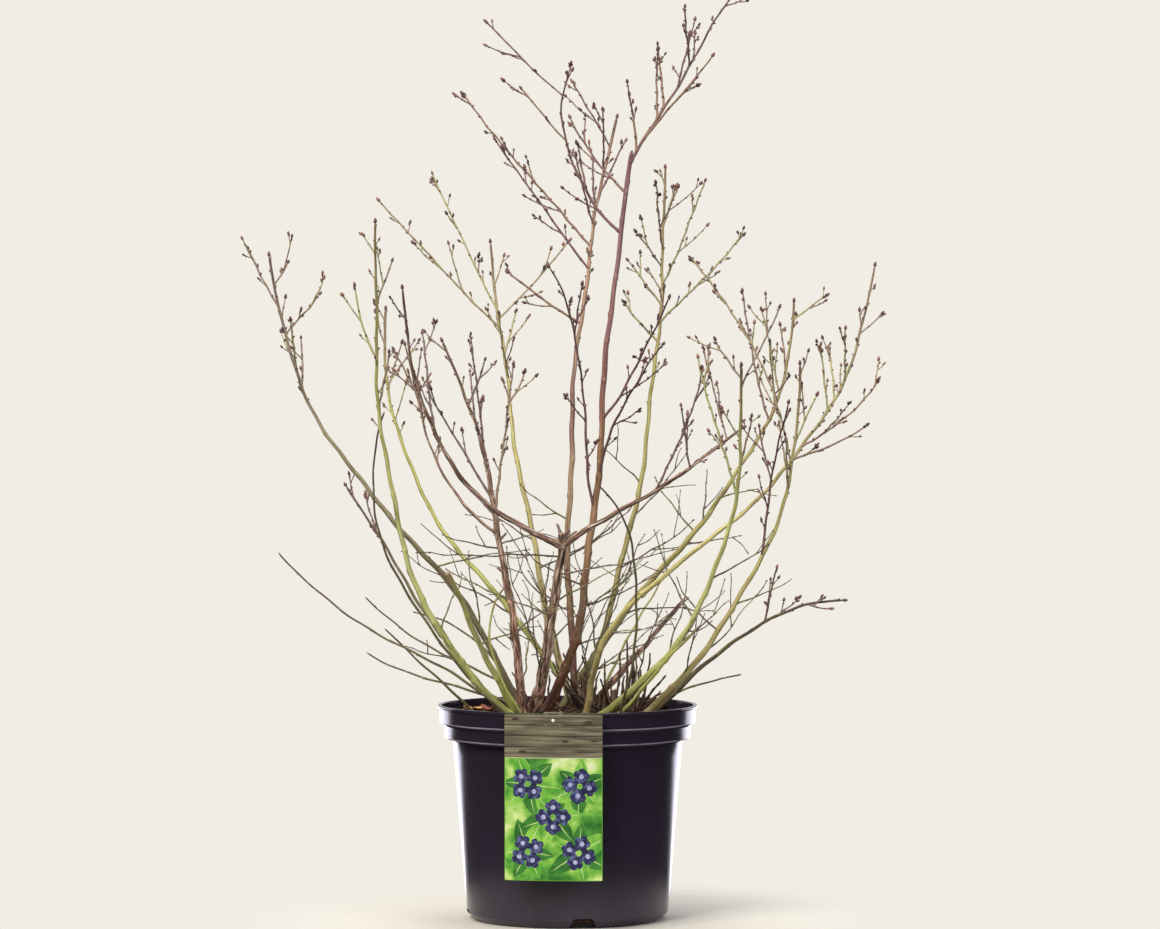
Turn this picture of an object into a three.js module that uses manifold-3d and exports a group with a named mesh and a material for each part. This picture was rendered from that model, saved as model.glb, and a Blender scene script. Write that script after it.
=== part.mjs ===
// A highbush blueberry in winter, bare of leaves, standing in a round nursery pot with a hanging label.
// Millimetres, +Z up, the label facing -Y. The origin is the centre of the pot's flat underside.
//
// Each cane, bough and whip is one tapering limb along a cubic curve. Where a limb carries twigs, its
// upper stretch is a solid of its own: a leader, the arms that leave it, and short twigs that a seeded
// rule grows on both. A twig that would touch another limb, or leave the crown, isn't grown.

import * as THREE from 'three';
import { mergeVertices } from 'three/addons/utils/BufferGeometryUtils.js';
import Module from 'manifold-3d';

const wasm = await Module();
wasm.setup();

const UP = new THREE.Vector3(0, 0, 1);

// ---------------------------------------------------------------- driving dimensions

const CLEARANCE = 0.3; // gap between solids that meet

// Pot: a 7.5 litre nursery pot, 260 mm across the lip
const POT_HEIGHT = 214;
const LIP_RADIUS = 130;
const LIP_DEPTH = 2.6;
const UPPER_BAND = { radius: 128.2, taper: 0.5, depth: 15 };
const LOWER_BAND = { radius: 123.4, taper: 0.5, depth: 13.4 };
const BAND_STEP = 1.8; // height of the slope under each band
const BODY_TOP_RADIUS = 114.6;
const BODY_FOOT_RADIUS = 100.6;
const FOOT_CORNER = 7;
const FOOT_CORNER_SAG = 0.3; // how far the corner's middle point stands in from the square, as a share
const WALL = 2.2;
const POT_FLOOR = 3;
const POT_FACETS = 36;
const NOTCH = { count: 4, turn: -81, topWidth: 18, footWidth: 30, height: 10.5, reach: 17 };

// Compost: level round the canes, a little lower along the wall
const SOIL_LEVEL = 206;
const SOIL_EDGE_LEVEL = 200;
const SOIL_FLAT_RADIUS = 106;
const SOIL_SIDE_GAP = 1.2; // gap to the wall at the compost's edge, where both are many-sided

// Label: a bowed card that hangs in front of the pot by a hook over the lip
const LABEL = {
  width: 96, height: 163, thickness: 0.9, bow: 300, bowFacets: 8, turn: -6, hookWidth: 18, hookDrop: 14,
};

// Limbs
const RING_STEP = { limb: 46, leader: 30 }; // distance between the rings
const SIDES = { cane: 6, slim: 5, arm: 4, twig: 3 };
const SLIM_RADIUS = 2.9; // limbs thinner than this at the root get fewer sides
const FOOT_FLARE = { height: 2.6, swell: 1.25 }; // height in radii
const BUD = { length: 7, swell: 1.5 };
const EVEN_PULL = [0.33, 0.33]; // how far a plain curve holds its direction at root and tip
const THINNING = 1.35; // above 1, a shoot thins faster near its root than near its tip

// Arms and twigs. rise: the share of its lean that an arm usually keeps at its tip. zone: the shares of a
// shoot that carry twigs. shrink: how much of the range of lengths is used, from the zone's foot to its tip.
const ARM = { rise: 0.9, radiusShare: 0.85, thickest: 1.7, tipRadius: 1 };
const TWIG = {
  spacing: 58, zone: [0.16, 0.95], length: [14, 58], shrink: [1.1, 0.3], fork: [22, 44], wander: 50,
  uplift: 0.35, radius: [1.1, 0.8],
};
const GOLDEN_ANGLE = 137.5;

// Room to keep
const TWIG_GAP = 2;
const BEAD_STEP = 3;
const CROWN_TOP = 925;
const CROWN_FLOOR = 226;

// ---------------------------------------------------------------- the plant's limbs

// foot: [x, y] where a cane leaves the compost. on, at: the limb that carries a bough, and how far up it.
// tip: its end. lean: degrees from upright towards +X, at root and tip. pull: how far each lean holds, as a
// share of the span. radius: at root and tip. crown: the share of the limb where its twigs start.
// arms: [share of the leader, lean from upright, compass turn (0 is +X, 90 is +Y), length, and the share
// of its lean that it keeps at its tip where that isn't ARM.rise].
const LIMBS = [
  {
    name: 'centre', foot: [-24, -30], tip: [64, -34, 766], lean: [34, 9], pull: [0.2, 0.5],
    radius: [5, 2.2], bark: 'brown', blunt: true,
  },
  {
    name: 'centre_top', on: 'centre', at: 0.985, tip: [166, -22, 923], lean: [33, 35],
    radius: [2.1, 1.1], bark: 'brown', crown: 0, seed: 110,
    arms: [
      [0.14, 43, -15, 106], [0.45, 14, 15, 54], [0.26, 10, 100, 60], [0.07, 8, 175, 56],
      [0.32, 38, 95, 76], [0.57, 36, 262, 66],
    ],
  },
  {
    name: 'centre_left', on: 'centre', at: 0.9, tip: [4, -52, 843], lean: [-54, 28], pull: [0.36, 0.3],
    radius: [1.9, 1], bark: 'brown', crown: 0, seed: 120,
    arms: [[0.84, 49, 187, 104], [0.58, 43, 172, 68], [0.3, 14, 215, 46]],
  },
  {
    name: 'centre_left_high', on: 'centre', at: 0.95, tip: [3, 4, 800], lean: [-55, -28],
    radius: [1.8, 1], bark: 'brown', crown: 0, seed: 130, arms: [],
  },
  {
    name: 'centre_low_right', on: 'centre', at: 0.64, tip: [99, -110, 618], lean: [42, 24],
    radius: [1.8, 1], bark: 'brown', crown: 0, seed: 140, arms: [],
  },
  {
    name: 'centre_lowest_right', on: 'centre', at: 0.55, tip: [92, -150, 572], lean: [14, 40],
    radius: [1.8, 1], bark: 'brown', crown: 0, seed: 145, arms: [],
  },
  {
    name: 'centre_low_left', on: 'centre', at: 0.49, tip: [-17, -130, 647], lean: [-14, -34],
    radius: [1.8, 1], bark: 'brown', crown: 0, seed: 150, arms: [[0.7, 12, 320, 50]],
  },
  {
    name: 'brown', foot: [9, -6], tip: [50, 100, 806], lean: [-5, 14], pull: [0.36, 0.3],
    radius: [3.8, 1.4], bark: 'brown', crown: 0.6, seed: 210,
    arms: [
      [0.06, 58, 175, 90], [0.3, 39, 195, 162], [0.4, 42.5, 170, 204], [0.86, 33, 160, 78],
      [0.18, 30, 75, 50], [0.64, 28, 10, 60], [0.5, 18, 215, 72], [0.57, 38, 95, 76],
      [0.74, 40, 268, 76],
    ],
  },
  {
    name: 'old', foot: [-36, -48], tip: [-5, -82, 388], lean: [16, 3],
    radius: [5.4, 3.5], bark: 'old', blunt: true,
  },
  {
    name: 'old_left', on: 'old', at: 0.93, tip: [-159, -150, 626], lean: [-66, -6], pull: [0.46, 0.44],
    radius: [2.9, 1.1], bark: 'old', crown: 0.5, seed: 310,
    arms: [[0.12, 10, 140, 96], [0.35, 30, 185, 56]],
  },
  {
    name: 'old_right', on: 'old', at: 0.93, tip: [171, -108, 491], lean: [59, 52],
    radius: [2.8, 1.1], bark: 'old', crown: 0.45, seed: 320,
    arms: [[0.1, 34, -30, 130, 0.4], [0.45, 26, 250, 66], [0.84, 18, 165, 92, 0.7]],
  },
  {
    name: 'shaggy', foot: [-42, -72], tip: [-123, -60, 576], lean: [-8, -26],
    radius: [4.3, 1.1], bark: 'old', crown: 0.5, seed: 410,
    arms: [
      [0.24, 9, 205, 128], [0.05, 7, -40, 150, 1.6], [0.14, 33, 192, 118], [0.64, 24, 30, 48],
      [0.56, 40, 98, 60],
    ],
  },
  {
    name: 'shaggy_left', on: 'shaggy', at: 0.48, tip: [-162, -5, 573], lean: [-62, -14], pull: [0.3, 0.48],
    radius: [2, 1], bark: 'old', crown: 0.42, seed: 420,
    arms: [[0.4, 26, 110, 54]],
  },
  {
    name: 'yellow', foot: [5, 24], tip: [-81, 200, 682], lean: [-16, -6],
    radius: [4, 1.2], bark: 'yellow_green', crown: 0.6, seed: 510,
    arms: [
      [0.54, 46, 185, 180], [0.64, 30, 160, 158, 0.8], [0.58, 45, 15, 112], [0.14, 36, 20, 34, 0.6],
      [0.4, 30, 60, 50], [0.28, 44, 262, 84],
    ],
  },
  {
    name: 'green_left', foot: [14, 46], tip: [-190, 190, 612], lean: [-31, 2], pull: [0.35, 0.48],
    radius: [3.4, 1.3], bark: 'green', crown: 0.72, seed: 610, arms: [[0.5, 20, 30, 50], [0.8, 20, 150, 34]],
  },
  {
    name: 'outer_left', foot: [-46, -9], tip: [-298, 0, 662], lean: [-22, -8], pull: [0.45, 0.5],
    radius: [3.6, 1.3], bark: 'olive', crown: 0.7, seed: 710,
    arms: [
      [0.76, 29, 178, 66], [0.62, 44, -5, 52, 0.85], [0.87, 34, 10, 26], [0.3, 36, 95, 60],
      [0.42, 38, 265, 60],
    ],
  },
  {
    name: 'green_far_left', foot: [-56, -46], tip: [-183, -200, 688], lean: [-50, 1], pull: [0.35, 0.33],
    radius: [3.9, 1.1], bark: 'green', crown: 0.55, seed: 810,
    arms: [[0.44, 26, 190, 74, 0.3], [0.66, 20, 0, 44], [0.25, 24, 300, 56]],
  },
  {
    name: 'dark_left', foot: [-67, 18], tip: [-227, 110, 430], lean: [-42, -33],
    radius: [2.3, 1.1], bark: 'brown', crown: 0.66, seed: 910, arms: [[0.4, 20, 150, 40]],
  },
  {
    name: 'cut_left', foot: [-52, -30], tip: [-117, -110, 350], lean: [-27, -26],
    radius: [3.4, 2.4], bark: 'green', blunt: true,
  },
  {
    name: 'short_left', foot: [-42, -98], tip: [-60, -130, 337], lean: [-32, 48],
    radius: [2, 1.1], bark: 'green',
  },
  {
    name: 'thin_left', foot: [-60, 8], tip: [-180, -70, 507], lean: [-50, 22], pull: [0.38, 0.34],
    radius: [2.1, 1.1], bark: 'olive',
  },
  {
    name: 'whip_far_left', foot: [-54, -84], tip: [-285, -62, 368], lean: [-48, -38],
    radius: [1.9, 1], bark: 'olive',
  },
  {
    name: 'whip_back_left', foot: [-34, 62], tip: [-209, 140, 315], lean: [-50, -42],
    radius: [1.9, 1], bark: 'olive',
  },
  {
    name: 'whip_low_left', foot: [-92, -30], tip: [-181, -44, 292], lean: [-46, -50],
    radius: [1.9, 1], bark: 'olive',
  },
  {
    name: 'whip_lowest_left', foot: [-62, 60], tip: [-205, 86, 261], lean: [-50, -50],
    radius: [1.8, 1], bark: 'olive',
  },
  {
    name: 'whip_left', foot: [-48, 86], tip: [-160, 132, 300], lean: [-16, -80],
    radius: [1.8, 1], bark: 'olive',
  },
  {
    name: 'olive', foot: [8, 68], tip: [102, 230, 761], lean: [23, 1],
    radius: [3.7, 1.2], bark: 'olive', crown: 0.54, seed: 1010,
    arms: [
      [0.3, 44, 190, 54], [0.38, 46, -5, 124], [0.45, 40, 165, 58], [0.6, 42, 205, 46],
      [0.53, 27, -15, 116, 0.7], [0.76, 22, -30, 44], [0.67, 42, 262, 86],
    ],
  },
  {
    name: 'diagonal', foot: [-8, 13], tip: [233, 140, 619], lean: [30, 2], pull: [0.42, 0.38],
    radius: [4.1, 1.2], bark: 'olive', crown: 0.64, seed: 1110,
    arms: [
      [0.9, 56, -5, 42], [0.28, 18, 182, 134, 0.3], [0.46, 14, 150, 88], [0.6, 30, 100, 54],
      [0.37, 40, 262, 84],
    ],
  },
  {
    name: 'curved_right', foot: [18, -62], tip: [73, -124, 330], lean: [6, 50],
    radius: [3.3, 2.5], bark: 'green', blunt: true,
  },
  {
    name: 'outer_right', on: 'curved_right', at: 0.985, tip: [309, 30, 653], lean: [52, 10],
    pull: [0.42, 0.42], radius: [2.4, 1.1], bark: 'yellow_green', crown: 0.45, seed: 1210,
    arms: [
      [0.12, 66, -10, 100, 0.5], [0.04, 76, 15, 84, 0.75], [0.34, 8, 200, 60], [0.4, 40, 95, 66],
      [0.5, 38, 268, 64],
    ],
  },
  {
    name: 'green_right', foot: [34, -46], tip: [167, -190, 551], lean: [52, -2], pull: [0.4, 0.4],
    radius: [3.8, 1.3], bark: 'green', crown: 0.68, seed: 1310,
    arms: [[0.92, 36, 180, 44], [0.86, 27, 0, 84], [0.3, 26, 300, 50], [0.05, 18, 190, 138, 0.8]],
  },
  {
    name: 'green_far_right', foot: [76, -44], tip: [228, -90, 553], lean: [46, -2], pull: [0.33, 0.4],
    radius: [3.5, 1.2], bark: 'yellow_green', crown: 0.64, seed: 1410,
    arms: [[0.5, 26, -10, 52], [0.36, 9, 172, 226, 4.8], [0.2, 30, 262, 60]],
  },
  {
    name: 'brown_right', on: 'green_far_right', at: 0.53, tip: [215, -122, 515], lean: [0, 10],
    radius: [1.7, 1], bark: 'brown', crown: 0, seed: 1452, arms: [[0.5, 14, 160, 52]],
  },
  {
    name: 'pale_right', foot: [46, -72], tip: [130, -130, 300], lean: [50, 46],
    radius: [2.3, 1.1], bark: 'green',
  },
  {
    name: 'brown_low_right', foot: [86, -5], tip: [272, -60, 321], lean: [48, 86], pull: [0.42, 0.4],
    radius: [2.8, 1.1], bark: 'brown', crown: 0.6, seed: 1510, arms: [[0.1, 14, 20, 54]],
  },
  {
    name: 'dead_right', foot: [22, 28], tip: [122, 90, 317], lean: [40, 46],
    radius: [3, 2], bark: 'old', blunt: true,
  },
  {
    name: 'thin_front', foot: [50, -94], tip: [31, -215, 437], lean: [14, -45],
    radius: [2, 1.1], bark: 'green',
  },
  {
    name: 'thin_back', foot: [26, 76], tip: [98, 180, 334], lean: [26, 27],
    radius: [2.1, 1.1], bark: 'green',
  },
  {
    name: 'whip_right', foot: [76, 30], tip: [176, 60, 240], lean: [58, 76],
    radius: [1.8, 1], bark: 'olive',
  },
];

const BARK_COLOURS = {
  old: 0x6f4a3c, brown: 0x774840, olive: 0x7d7445, green: 0x8b9442, yellow_green: 0xa9a750,
};
const TWIG_COLOUR = 0x553e38;

// ---------------------------------------------------------------- solids

// Turns a three.js geometry into a solid that can be joined and cut
function solidOf(geometry) {
  geometry.deleteAttribute('normal');
  geometry.deleteAttribute('uv');
  const merged = mergeVertices(geometry, 1e-4);
  const corners = merged.index.array;
  const faces = [];
  for (let i = 0; i < corners.length; i += 3) {
    const [a, b, c] = corners.slice(i, i + 3);
    if (a !== b && b !== c && c !== a) faces.push(a, b, c); // a face that shrank to a point is dropped
  }
  return new wasm.Manifold(new wasm.Mesh({
    numProp: 3,
    vertProperties: merged.attributes.position.array,
    triVerts: new Uint32Array(faces),
  }));
}

function geometryOf(solid) {
  const mesh = solid.getMesh();
  const geometry = new THREE.BufferGeometry();
  geometry.setAttribute('position', new THREE.BufferAttribute(mesh.vertProperties, 3));
  geometry.setIndex(new THREE.BufferAttribute(mesh.triVerts, 1));
  return geometry;
}

function namedMesh(name, geometry, colour, roughness) {
  const material = new THREE.MeshStandardMaterial({ color: colour, roughness, metalness: 0 });
  const mesh = new THREE.Mesh(geometry, material);
  mesh.name = name;
  return mesh;
}

// A round solid from a profile of [radius, height] pairs
function turned(profile) {
  const points = profile.map(([radius, height]) => new THREE.Vector2(radius, height));
  return new THREE.LatheGeometry(points, POT_FACETS).rotateX(Math.PI / 2);
}

// ---------------------------------------------------------------- pot, compost and label

// The pot's outside from the floor's edge up to the lip
function potOutside() {
  const upperFoot = POT_HEIGHT - LIP_DEPTH - UPPER_BAND.depth;
  const lowerTop = upperFoot - BAND_STEP;
  const lowerFoot = lowerTop - LOWER_BAND.depth;
  return [
    [BODY_FOOT_RADIUS - FOOT_CORNER, 0],
    [BODY_FOOT_RADIUS - FOOT_CORNER * FOOT_CORNER_SAG, FOOT_CORNER * FOOT_CORNER_SAG],
    [BODY_FOOT_RADIUS, FOOT_CORNER],
    [BODY_TOP_RADIUS, lowerFoot - BAND_STEP],
    [LOWER_BAND.radius - LOWER_BAND.taper, lowerFoot],
    [LOWER_BAND.radius, lowerTop],
    [UPPER_BAND.radius - UPPER_BAND.taper, upperFoot],
    [UPPER_BAND.radius, POT_HEIGHT - LIP_DEPTH],
    [LIP_RADIUS, POT_HEIGHT - LIP_DEPTH],
    [LIP_RADIUS, POT_HEIGHT],
  ];
}

// The inside follows the outside, one wall thinner, down to the floor
function potInside() {
  const [, , corner, bodyTop, lowerFoot, lowerTop, upperFoot] = potOutside();
  const inset = ([radius, height]) => [radius - WALL, height];
  return [
    [UPPER_BAND.radius - WALL, POT_HEIGHT],
    inset(upperFoot),
    inset(lowerTop),
    inset(lowerFoot),
    inset(bodyTop),
    inset(corner),
    [BODY_FOOT_RADIUS - FOOT_CORNER, POT_FLOOR],
  ];
}

// One drain notch: a trapezium cut through wall and floor, reaching in from the pot's foot
function drainNotch(turn) {
  const { topWidth, footWidth, height, reach } = NOTCH;
  const below = 1;
  const shape = new THREE.Shape([
    new THREE.Vector2(-footWidth / 2, -below),
    new THREE.Vector2(footWidth / 2, -below),
    new THREE.Vector2(topWidth / 2, height),
    new THREE.Vector2(-topWidth / 2, height),
  ]);
  const geometry = new THREE.ExtrudeGeometry(shape, { depth: 2 * reach, bevelEnabled: false });
  geometry.rotateX(Math.PI / 2).rotateZ(Math.PI / 2);
  geometry.translate(BODY_FOOT_RADIUS - reach, 0, 0).rotateZ(THREE.MathUtils.degToRad(turn));
  return solidOf(geometry);
}

function pot() {
  let solid = solidOf(turned([[0, 0], ...potOutside(), ...potInside(), [0, POT_FLOOR]]));
  for (let i = 0; i < NOTCH.count; i += 1) {
    solid = solid.subtract(drainNotch(NOTCH.turn + (360 / NOTCH.count) * i));
  }
  return namedMesh('pot', geometryOf(solid), 0x241d26, 0.3);
}

function compost() {
  const inner = potInside().reverse().filter(([, height]) => height < SOIL_EDGE_LEVEL);
  const side = inner.map(([radius, height]) => [radius - SOIL_SIDE_GAP, height + CLEARANCE]);
  const edgeRadius = UPPER_BAND.radius - UPPER_BAND.taper - WALL - SOIL_SIDE_GAP;
  const profile = [
    [0, POT_FLOOR + CLEARANCE], ...side,
    [edgeRadius, SOIL_EDGE_LEVEL], [SOIL_FLAT_RADIUS, SOIL_LEVEL], [0, SOIL_LEVEL],
  ];
  return namedMesh('compost', turned(profile), 0x3a2a22, 0.95);
}

// The card is a slice of a wide tube; its hook is a strip that goes over the lip and down inside the pot
function label() {
  const { width, height, thickness, bow, bowFacets, hookWidth, hookDrop } = LABEL;
  const front = LIP_RADIUS + CLEARANCE + thickness;
  const half = Math.asin(width / 2 / bow);
  const outline = new THREE.Shape();
  outline.absarc(0, bow - front, bow, -Math.PI / 2 - half, -Math.PI / 2 + half, false);
  outline.absarc(0, bow - front, bow - thickness, -Math.PI / 2 + half, -Math.PI / 2 - half, true);
  const sweep = { depth: height, bevelEnabled: false, curveSegments: bowFacets };
  const card = new THREE.ExtrudeGeometry(outline, sweep);
  card.translate(0, 0, POT_HEIGHT - height);

  const under = POT_HEIGHT + CLEARANCE;
  const wall = (UPPER_BAND.radius - UPPER_BAND.taper - WALL) * Math.cos(Math.PI / POT_FACETS);
  const inside = wall - hookWidth ** 2 / (8 * wall) - CLEARANCE;
  const hook = new THREE.Shape([
    new THREE.Vector2(-front, under - hookDrop),
    new THREE.Vector2(-front + thickness, under - hookDrop),
    new THREE.Vector2(-front + thickness, under),
    new THREE.Vector2(-inside, under),
    new THREE.Vector2(-inside, SOIL_LEVEL + CLEARANCE),
    new THREE.Vector2(-inside + thickness, SOIL_LEVEL + CLEARANCE),
    new THREE.Vector2(-inside + thickness, under + thickness),
    new THREE.Vector2(-front, under + thickness),
  ]);
  const strip = new THREE.ExtrudeGeometry(hook, { depth: hookWidth, bevelEnabled: false });
  strip.rotateX(Math.PI / 2).rotateZ(Math.PI / 2).translate(-hookWidth / 2, 0, 0);

  const mesh = namedMesh('label', geometryOf(solidOf(card).add(solidOf(strip))), 0x7f9a55, 0.5);
  mesh.rotation.z = THREE.MathUtils.degToRad(LABEL.turn);
  return mesh;
}

// ---------------------------------------------------------------- shoots

// The same numbers from the same seed, by 32-bit whole-number steps
function seededRandom(seed) {
  let state = Math.imul(seed, 2654435761) >>> 0;
  return () => {
    state = (Math.imul(state, 1664525) + 1013904223) >>> 0;
    return state / 4294967296;
  };
}

// A direction that leans from upright towards +X, and runs back by a share of its length
function leaning(lean, back) {
  const angle = THREE.MathUtils.degToRad(lean);
  return new THREE.Vector3(Math.sin(angle), back, Math.cos(angle)).normalize();
}

// A direction that leans from upright towards a compass turn
function heading(lean, turn) {
  const [down, round] = [lean, turn].map(THREE.MathUtils.degToRad);
  return new THREE.Vector3(
    Math.sin(down) * Math.cos(round), Math.sin(down) * Math.sin(round), Math.cos(down),
  );
}

// A shoot is a curve with a radius that tapers along it, between two shares of the curve
function makeShoot(root, leave, arrive, tip, pull, radius) {
  const span = root.distanceTo(tip);
  const first = root.clone().addScaledVector(leave, pull[0] * span);
  const second = tip.clone().addScaledVector(arrive, -pull[1] * span);
  const curve = new THREE.CubicBezierCurve3(root, first, second, tip);
  return { curve, radius, span, from: 0, to: 1 };
}

function part(shoot, from, to) {
  return { ...shoot, from, to, span: shoot.span * (to - from) };
}

const pointOn = (shoot, share) => shoot.curve.getPoint(THREE.MathUtils.lerp(shoot.from, shoot.to, share));
const tangentOn = (shoot, share) => shoot.curve.getTangent(THREE.MathUtils.lerp(shoot.from, shoot.to, share));

function radiusOn(shoot, share) {
  const left = 1 - THREE.MathUtils.lerp(shoot.from, shoot.to, share);
  return THREE.MathUtils.lerp(...shoot.radius, 1 - left ** THINNING);
}

// Two directions across a tangent, so that side x tangent = other
function acrossOf(tangent) {
  const side = new THREE.Vector3().crossVectors(tangent, new THREE.Vector3(0, 1, 0)).normalize();
  return { side, other: new THREE.Vector3().crossVectors(side, tangent) };
}

// The shares of a shoot that carry a ring, each with how much thicker than the taper it is.
// A limb that isn't cut blunt ends in a pointed bud.
function ringsOf(shoot, { flared, blunt, steps }) {
  const bud = BUD.length / shoot.span;
  const last = blunt ? 1 : 1 - bud;
  const rings = [];
  for (let i = 0; i < steps; i += 1) rings.push([(last * i) / steps, 1]);
  const flareTop = (FOOT_FLARE.height * shoot.radius[0]) / shoot.span;
  if (flared) rings.splice(0, 1, [0, FOOT_FLARE.swell], [flareTop, 1]);
  if (blunt) rings.push([1, 1]);
  else rings.push([1 - bud / 2, BUD.swell], [1, 0]);
  return rings;
}

// A limb: a many-sided cylinder bent along its shoot. A flared one stands on the compost with a flat cut.
function limbSolid(shoot, options, grow = 0) {
  const rings = ringsOf(shoot, options);
  const geometry = new THREE.CylinderGeometry(1, 1, rings.length - 1, options.sides, rings.length - 1);
  const spots = geometry.attributes.position;
  const foot = SOIL_LEVEL + CLEARANCE;
  for (let i = 0; i < spots.count; i += 1) {
    const ring = Math.round(spots.getY(i) + (rings.length - 1) / 2);
    const [share, swell] = rings[ring];
    const tangent = tangentOn(shoot, share);
    const { side, other } = acrossOf(tangent);
    const radius = radiusOn(shoot, share) * swell + grow / Math.cos(Math.PI / options.sides);
    const spot = pointOn(shoot, share);
    spot.addScaledVector(side, radius * spots.getX(i)).addScaledVector(other, radius * spots.getZ(i));
    if (options.flared && ring === 0) spot.addScaledVector(tangent, (foot - spot.z) / tangent.z);
    if (ring === rings.length - 1) spot.addScaledVector(tangent, grow);
    spots.setXYZ(i, spot.x, spot.y, spot.z);
  }
  return solidOf(geometry);
}

const stepsOf = (shoot, step) => Math.max(2, Math.round(shoot.span / step));

function limbOptions(limb, shoot, step) {
  return { sides: limb.radius[0] > SLIM_RADIUS ? SIDES.cane : SIDES.slim, steps: stepsOf(shoot, step) };
}

// ---------------------------------------------------------------- keeping clear

// Every shoot as a row of beads, so that a new one can be tested against all that stand already
const beads = [];

function beadsOf(shoot, owner) {
  const count = Math.ceil(shoot.span / BEAD_STEP);
  const row = [];
  for (let i = 0; i <= count; i += 1) {
    row.push({ spot: pointOn(shoot, i / count), radius: radiusOn(shoot, i / count), owner });
  }
  return row;
}

function isClear(row, parents) {
  return row.every((bead) => beads.every((other) => (
    parents.includes(other.owner) || bead.spot.distanceTo(other.spot) > bead.radius + other.radius + TWIG_GAP
  )));
}

function isInCrown(row) {
  return row.every(({ spot }) => spot.z < CROWN_TOP && spot.z > CROWN_FLOOR);
}

// Keeps a new shoot if it stays in the crown and touches nothing but its parents
function standsFree(shoot, parents) {
  const row = beadsOf(shoot, shoot);
  if (!isInCrown(row) || !isClear(row, parents)) return false;
  beads.push(...row);
  return true;
}

// ---------------------------------------------------------------- crowns

function armOn(leader, [share, lean, turn, length, rise = ARM.rise]) {
  const root = pointOn(leader, share);
  const leave = heading(lean, turn);
  const arrive = heading(lean * rise, turn);
  const tip = root.clone().addScaledVector(leave.clone().add(arrive).normalize(), length);
  const thick = Math.min(radiusOn(leader, share) * ARM.radiusShare, ARM.thickest);
  return makeShoot(root, leave, arrive, tip, EVEN_PULL, [thick, ARM.tipRadius]);
}

// The short twigs of one shoot: about one every TWIG.spacing, turning round it by the golden angle
function twigsOn(shoot, random) {
  const count = Math.max(1, Math.round(shoot.span / TWIG.spacing));
  const start = 360 * random();
  const twigs = [];
  for (let i = 0; i < count; i += 1) {
    const share = THREE.MathUtils.lerp(...TWIG.zone, (i + random()) / count);
    const turn = THREE.MathUtils.degToRad(start + GOLDEN_ANGLE * i + TWIG.wander * random());
    const fork = THREE.MathUtils.degToRad(THREE.MathUtils.lerp(...TWIG.fork, random()));
    const scope = THREE.MathUtils.lerp(...TWIG.shrink, share);
    const length = THREE.MathUtils.lerp(...TWIG.length, random() * scope);
    const tangent = tangentOn(shoot, share);
    const { side, other } = acrossOf(tangent);
    const away = side.multiplyScalar(Math.cos(turn)).addScaledVector(other, Math.sin(turn));
    const leave = tangent.multiplyScalar(Math.cos(fork)).addScaledVector(away, Math.sin(fork));
    const arrive = leave.clone().addScaledVector(UP, TWIG.uplift).normalize();
    const root = pointOn(shoot, share);
    const tip = root.clone().addScaledVector(leave.clone().add(arrive).normalize(), length);
    twigs.push(makeShoot(root, leave, arrive, tip, EVEN_PULL, TWIG.radius));
  }
  return twigs;
}

// All the shoots of one crown: its leader, its arms and their twigs. A crown that starts on its carrier's
// axis may touch it there, because the carrier is cut out of it afterwards.
function growCrown(limb, leader, carrier) {
  const parents = limb.crown === 0 ? [leader, carrier] : [leader];
  const arms = limb.arms.map((row) => armOn(leader, row)).filter((arm) => standsFree(arm, parents));
  const twigs = [leader, ...arms].flatMap((shoot, i) => (
    twigsOn(shoot, seededRandom(limb.seed + i)).filter((twig) => standsFree(twig, [shoot]))
  ));
  return { leader, arms, twigs };
}

function crownSolid(limb, { leader, arms, twigs }) {
  return [
    limbSolid(leader, limbOptions(limb, leader, RING_STEP.leader)),
    ...arms.map((arm) => limbSolid(arm, { sides: SIDES.arm, steps: stepsOf(arm, RING_STEP.limb) })),
    ...twigs.map((twig) => limbSolid(twig, { sides: SIDES.twig, steps: 1 })),
  ].reduce((sum, solid) => sum.add(solid));
}

// ---------------------------------------------------------------- the plant

// The whole shoot of each limb, by name, from its foot or from the axis of the limb that carries it
function plantShoots() {
  const shoots = {};
  for (const { name, foot, on, at, tip, lean, pull = EVEN_PULL, radius } of LIMBS) {
    const root = foot ? new THREE.Vector3(...foot, SOIL_LEVEL) : pointOn(shoots[on], at);
    const end = new THREE.Vector3(...tip);
    const back = (end.y - root.y) / root.distanceTo(end);
    shoots[name] = makeShoot(root, leaning(lean[0], back), leaning(lean[1], back), end, pull, radius);
  }
  return shoots;
}

// The share of a shoot that the gap between two solids takes up
function gapShare(shoot, share) {
  const step = 1e-3;
  const near = shoot.curve.getPoint(share - step).distanceTo(shoot.curve.getPoint(share + step));
  return (CLEARANCE * 2 * step) / near;
}

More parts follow.
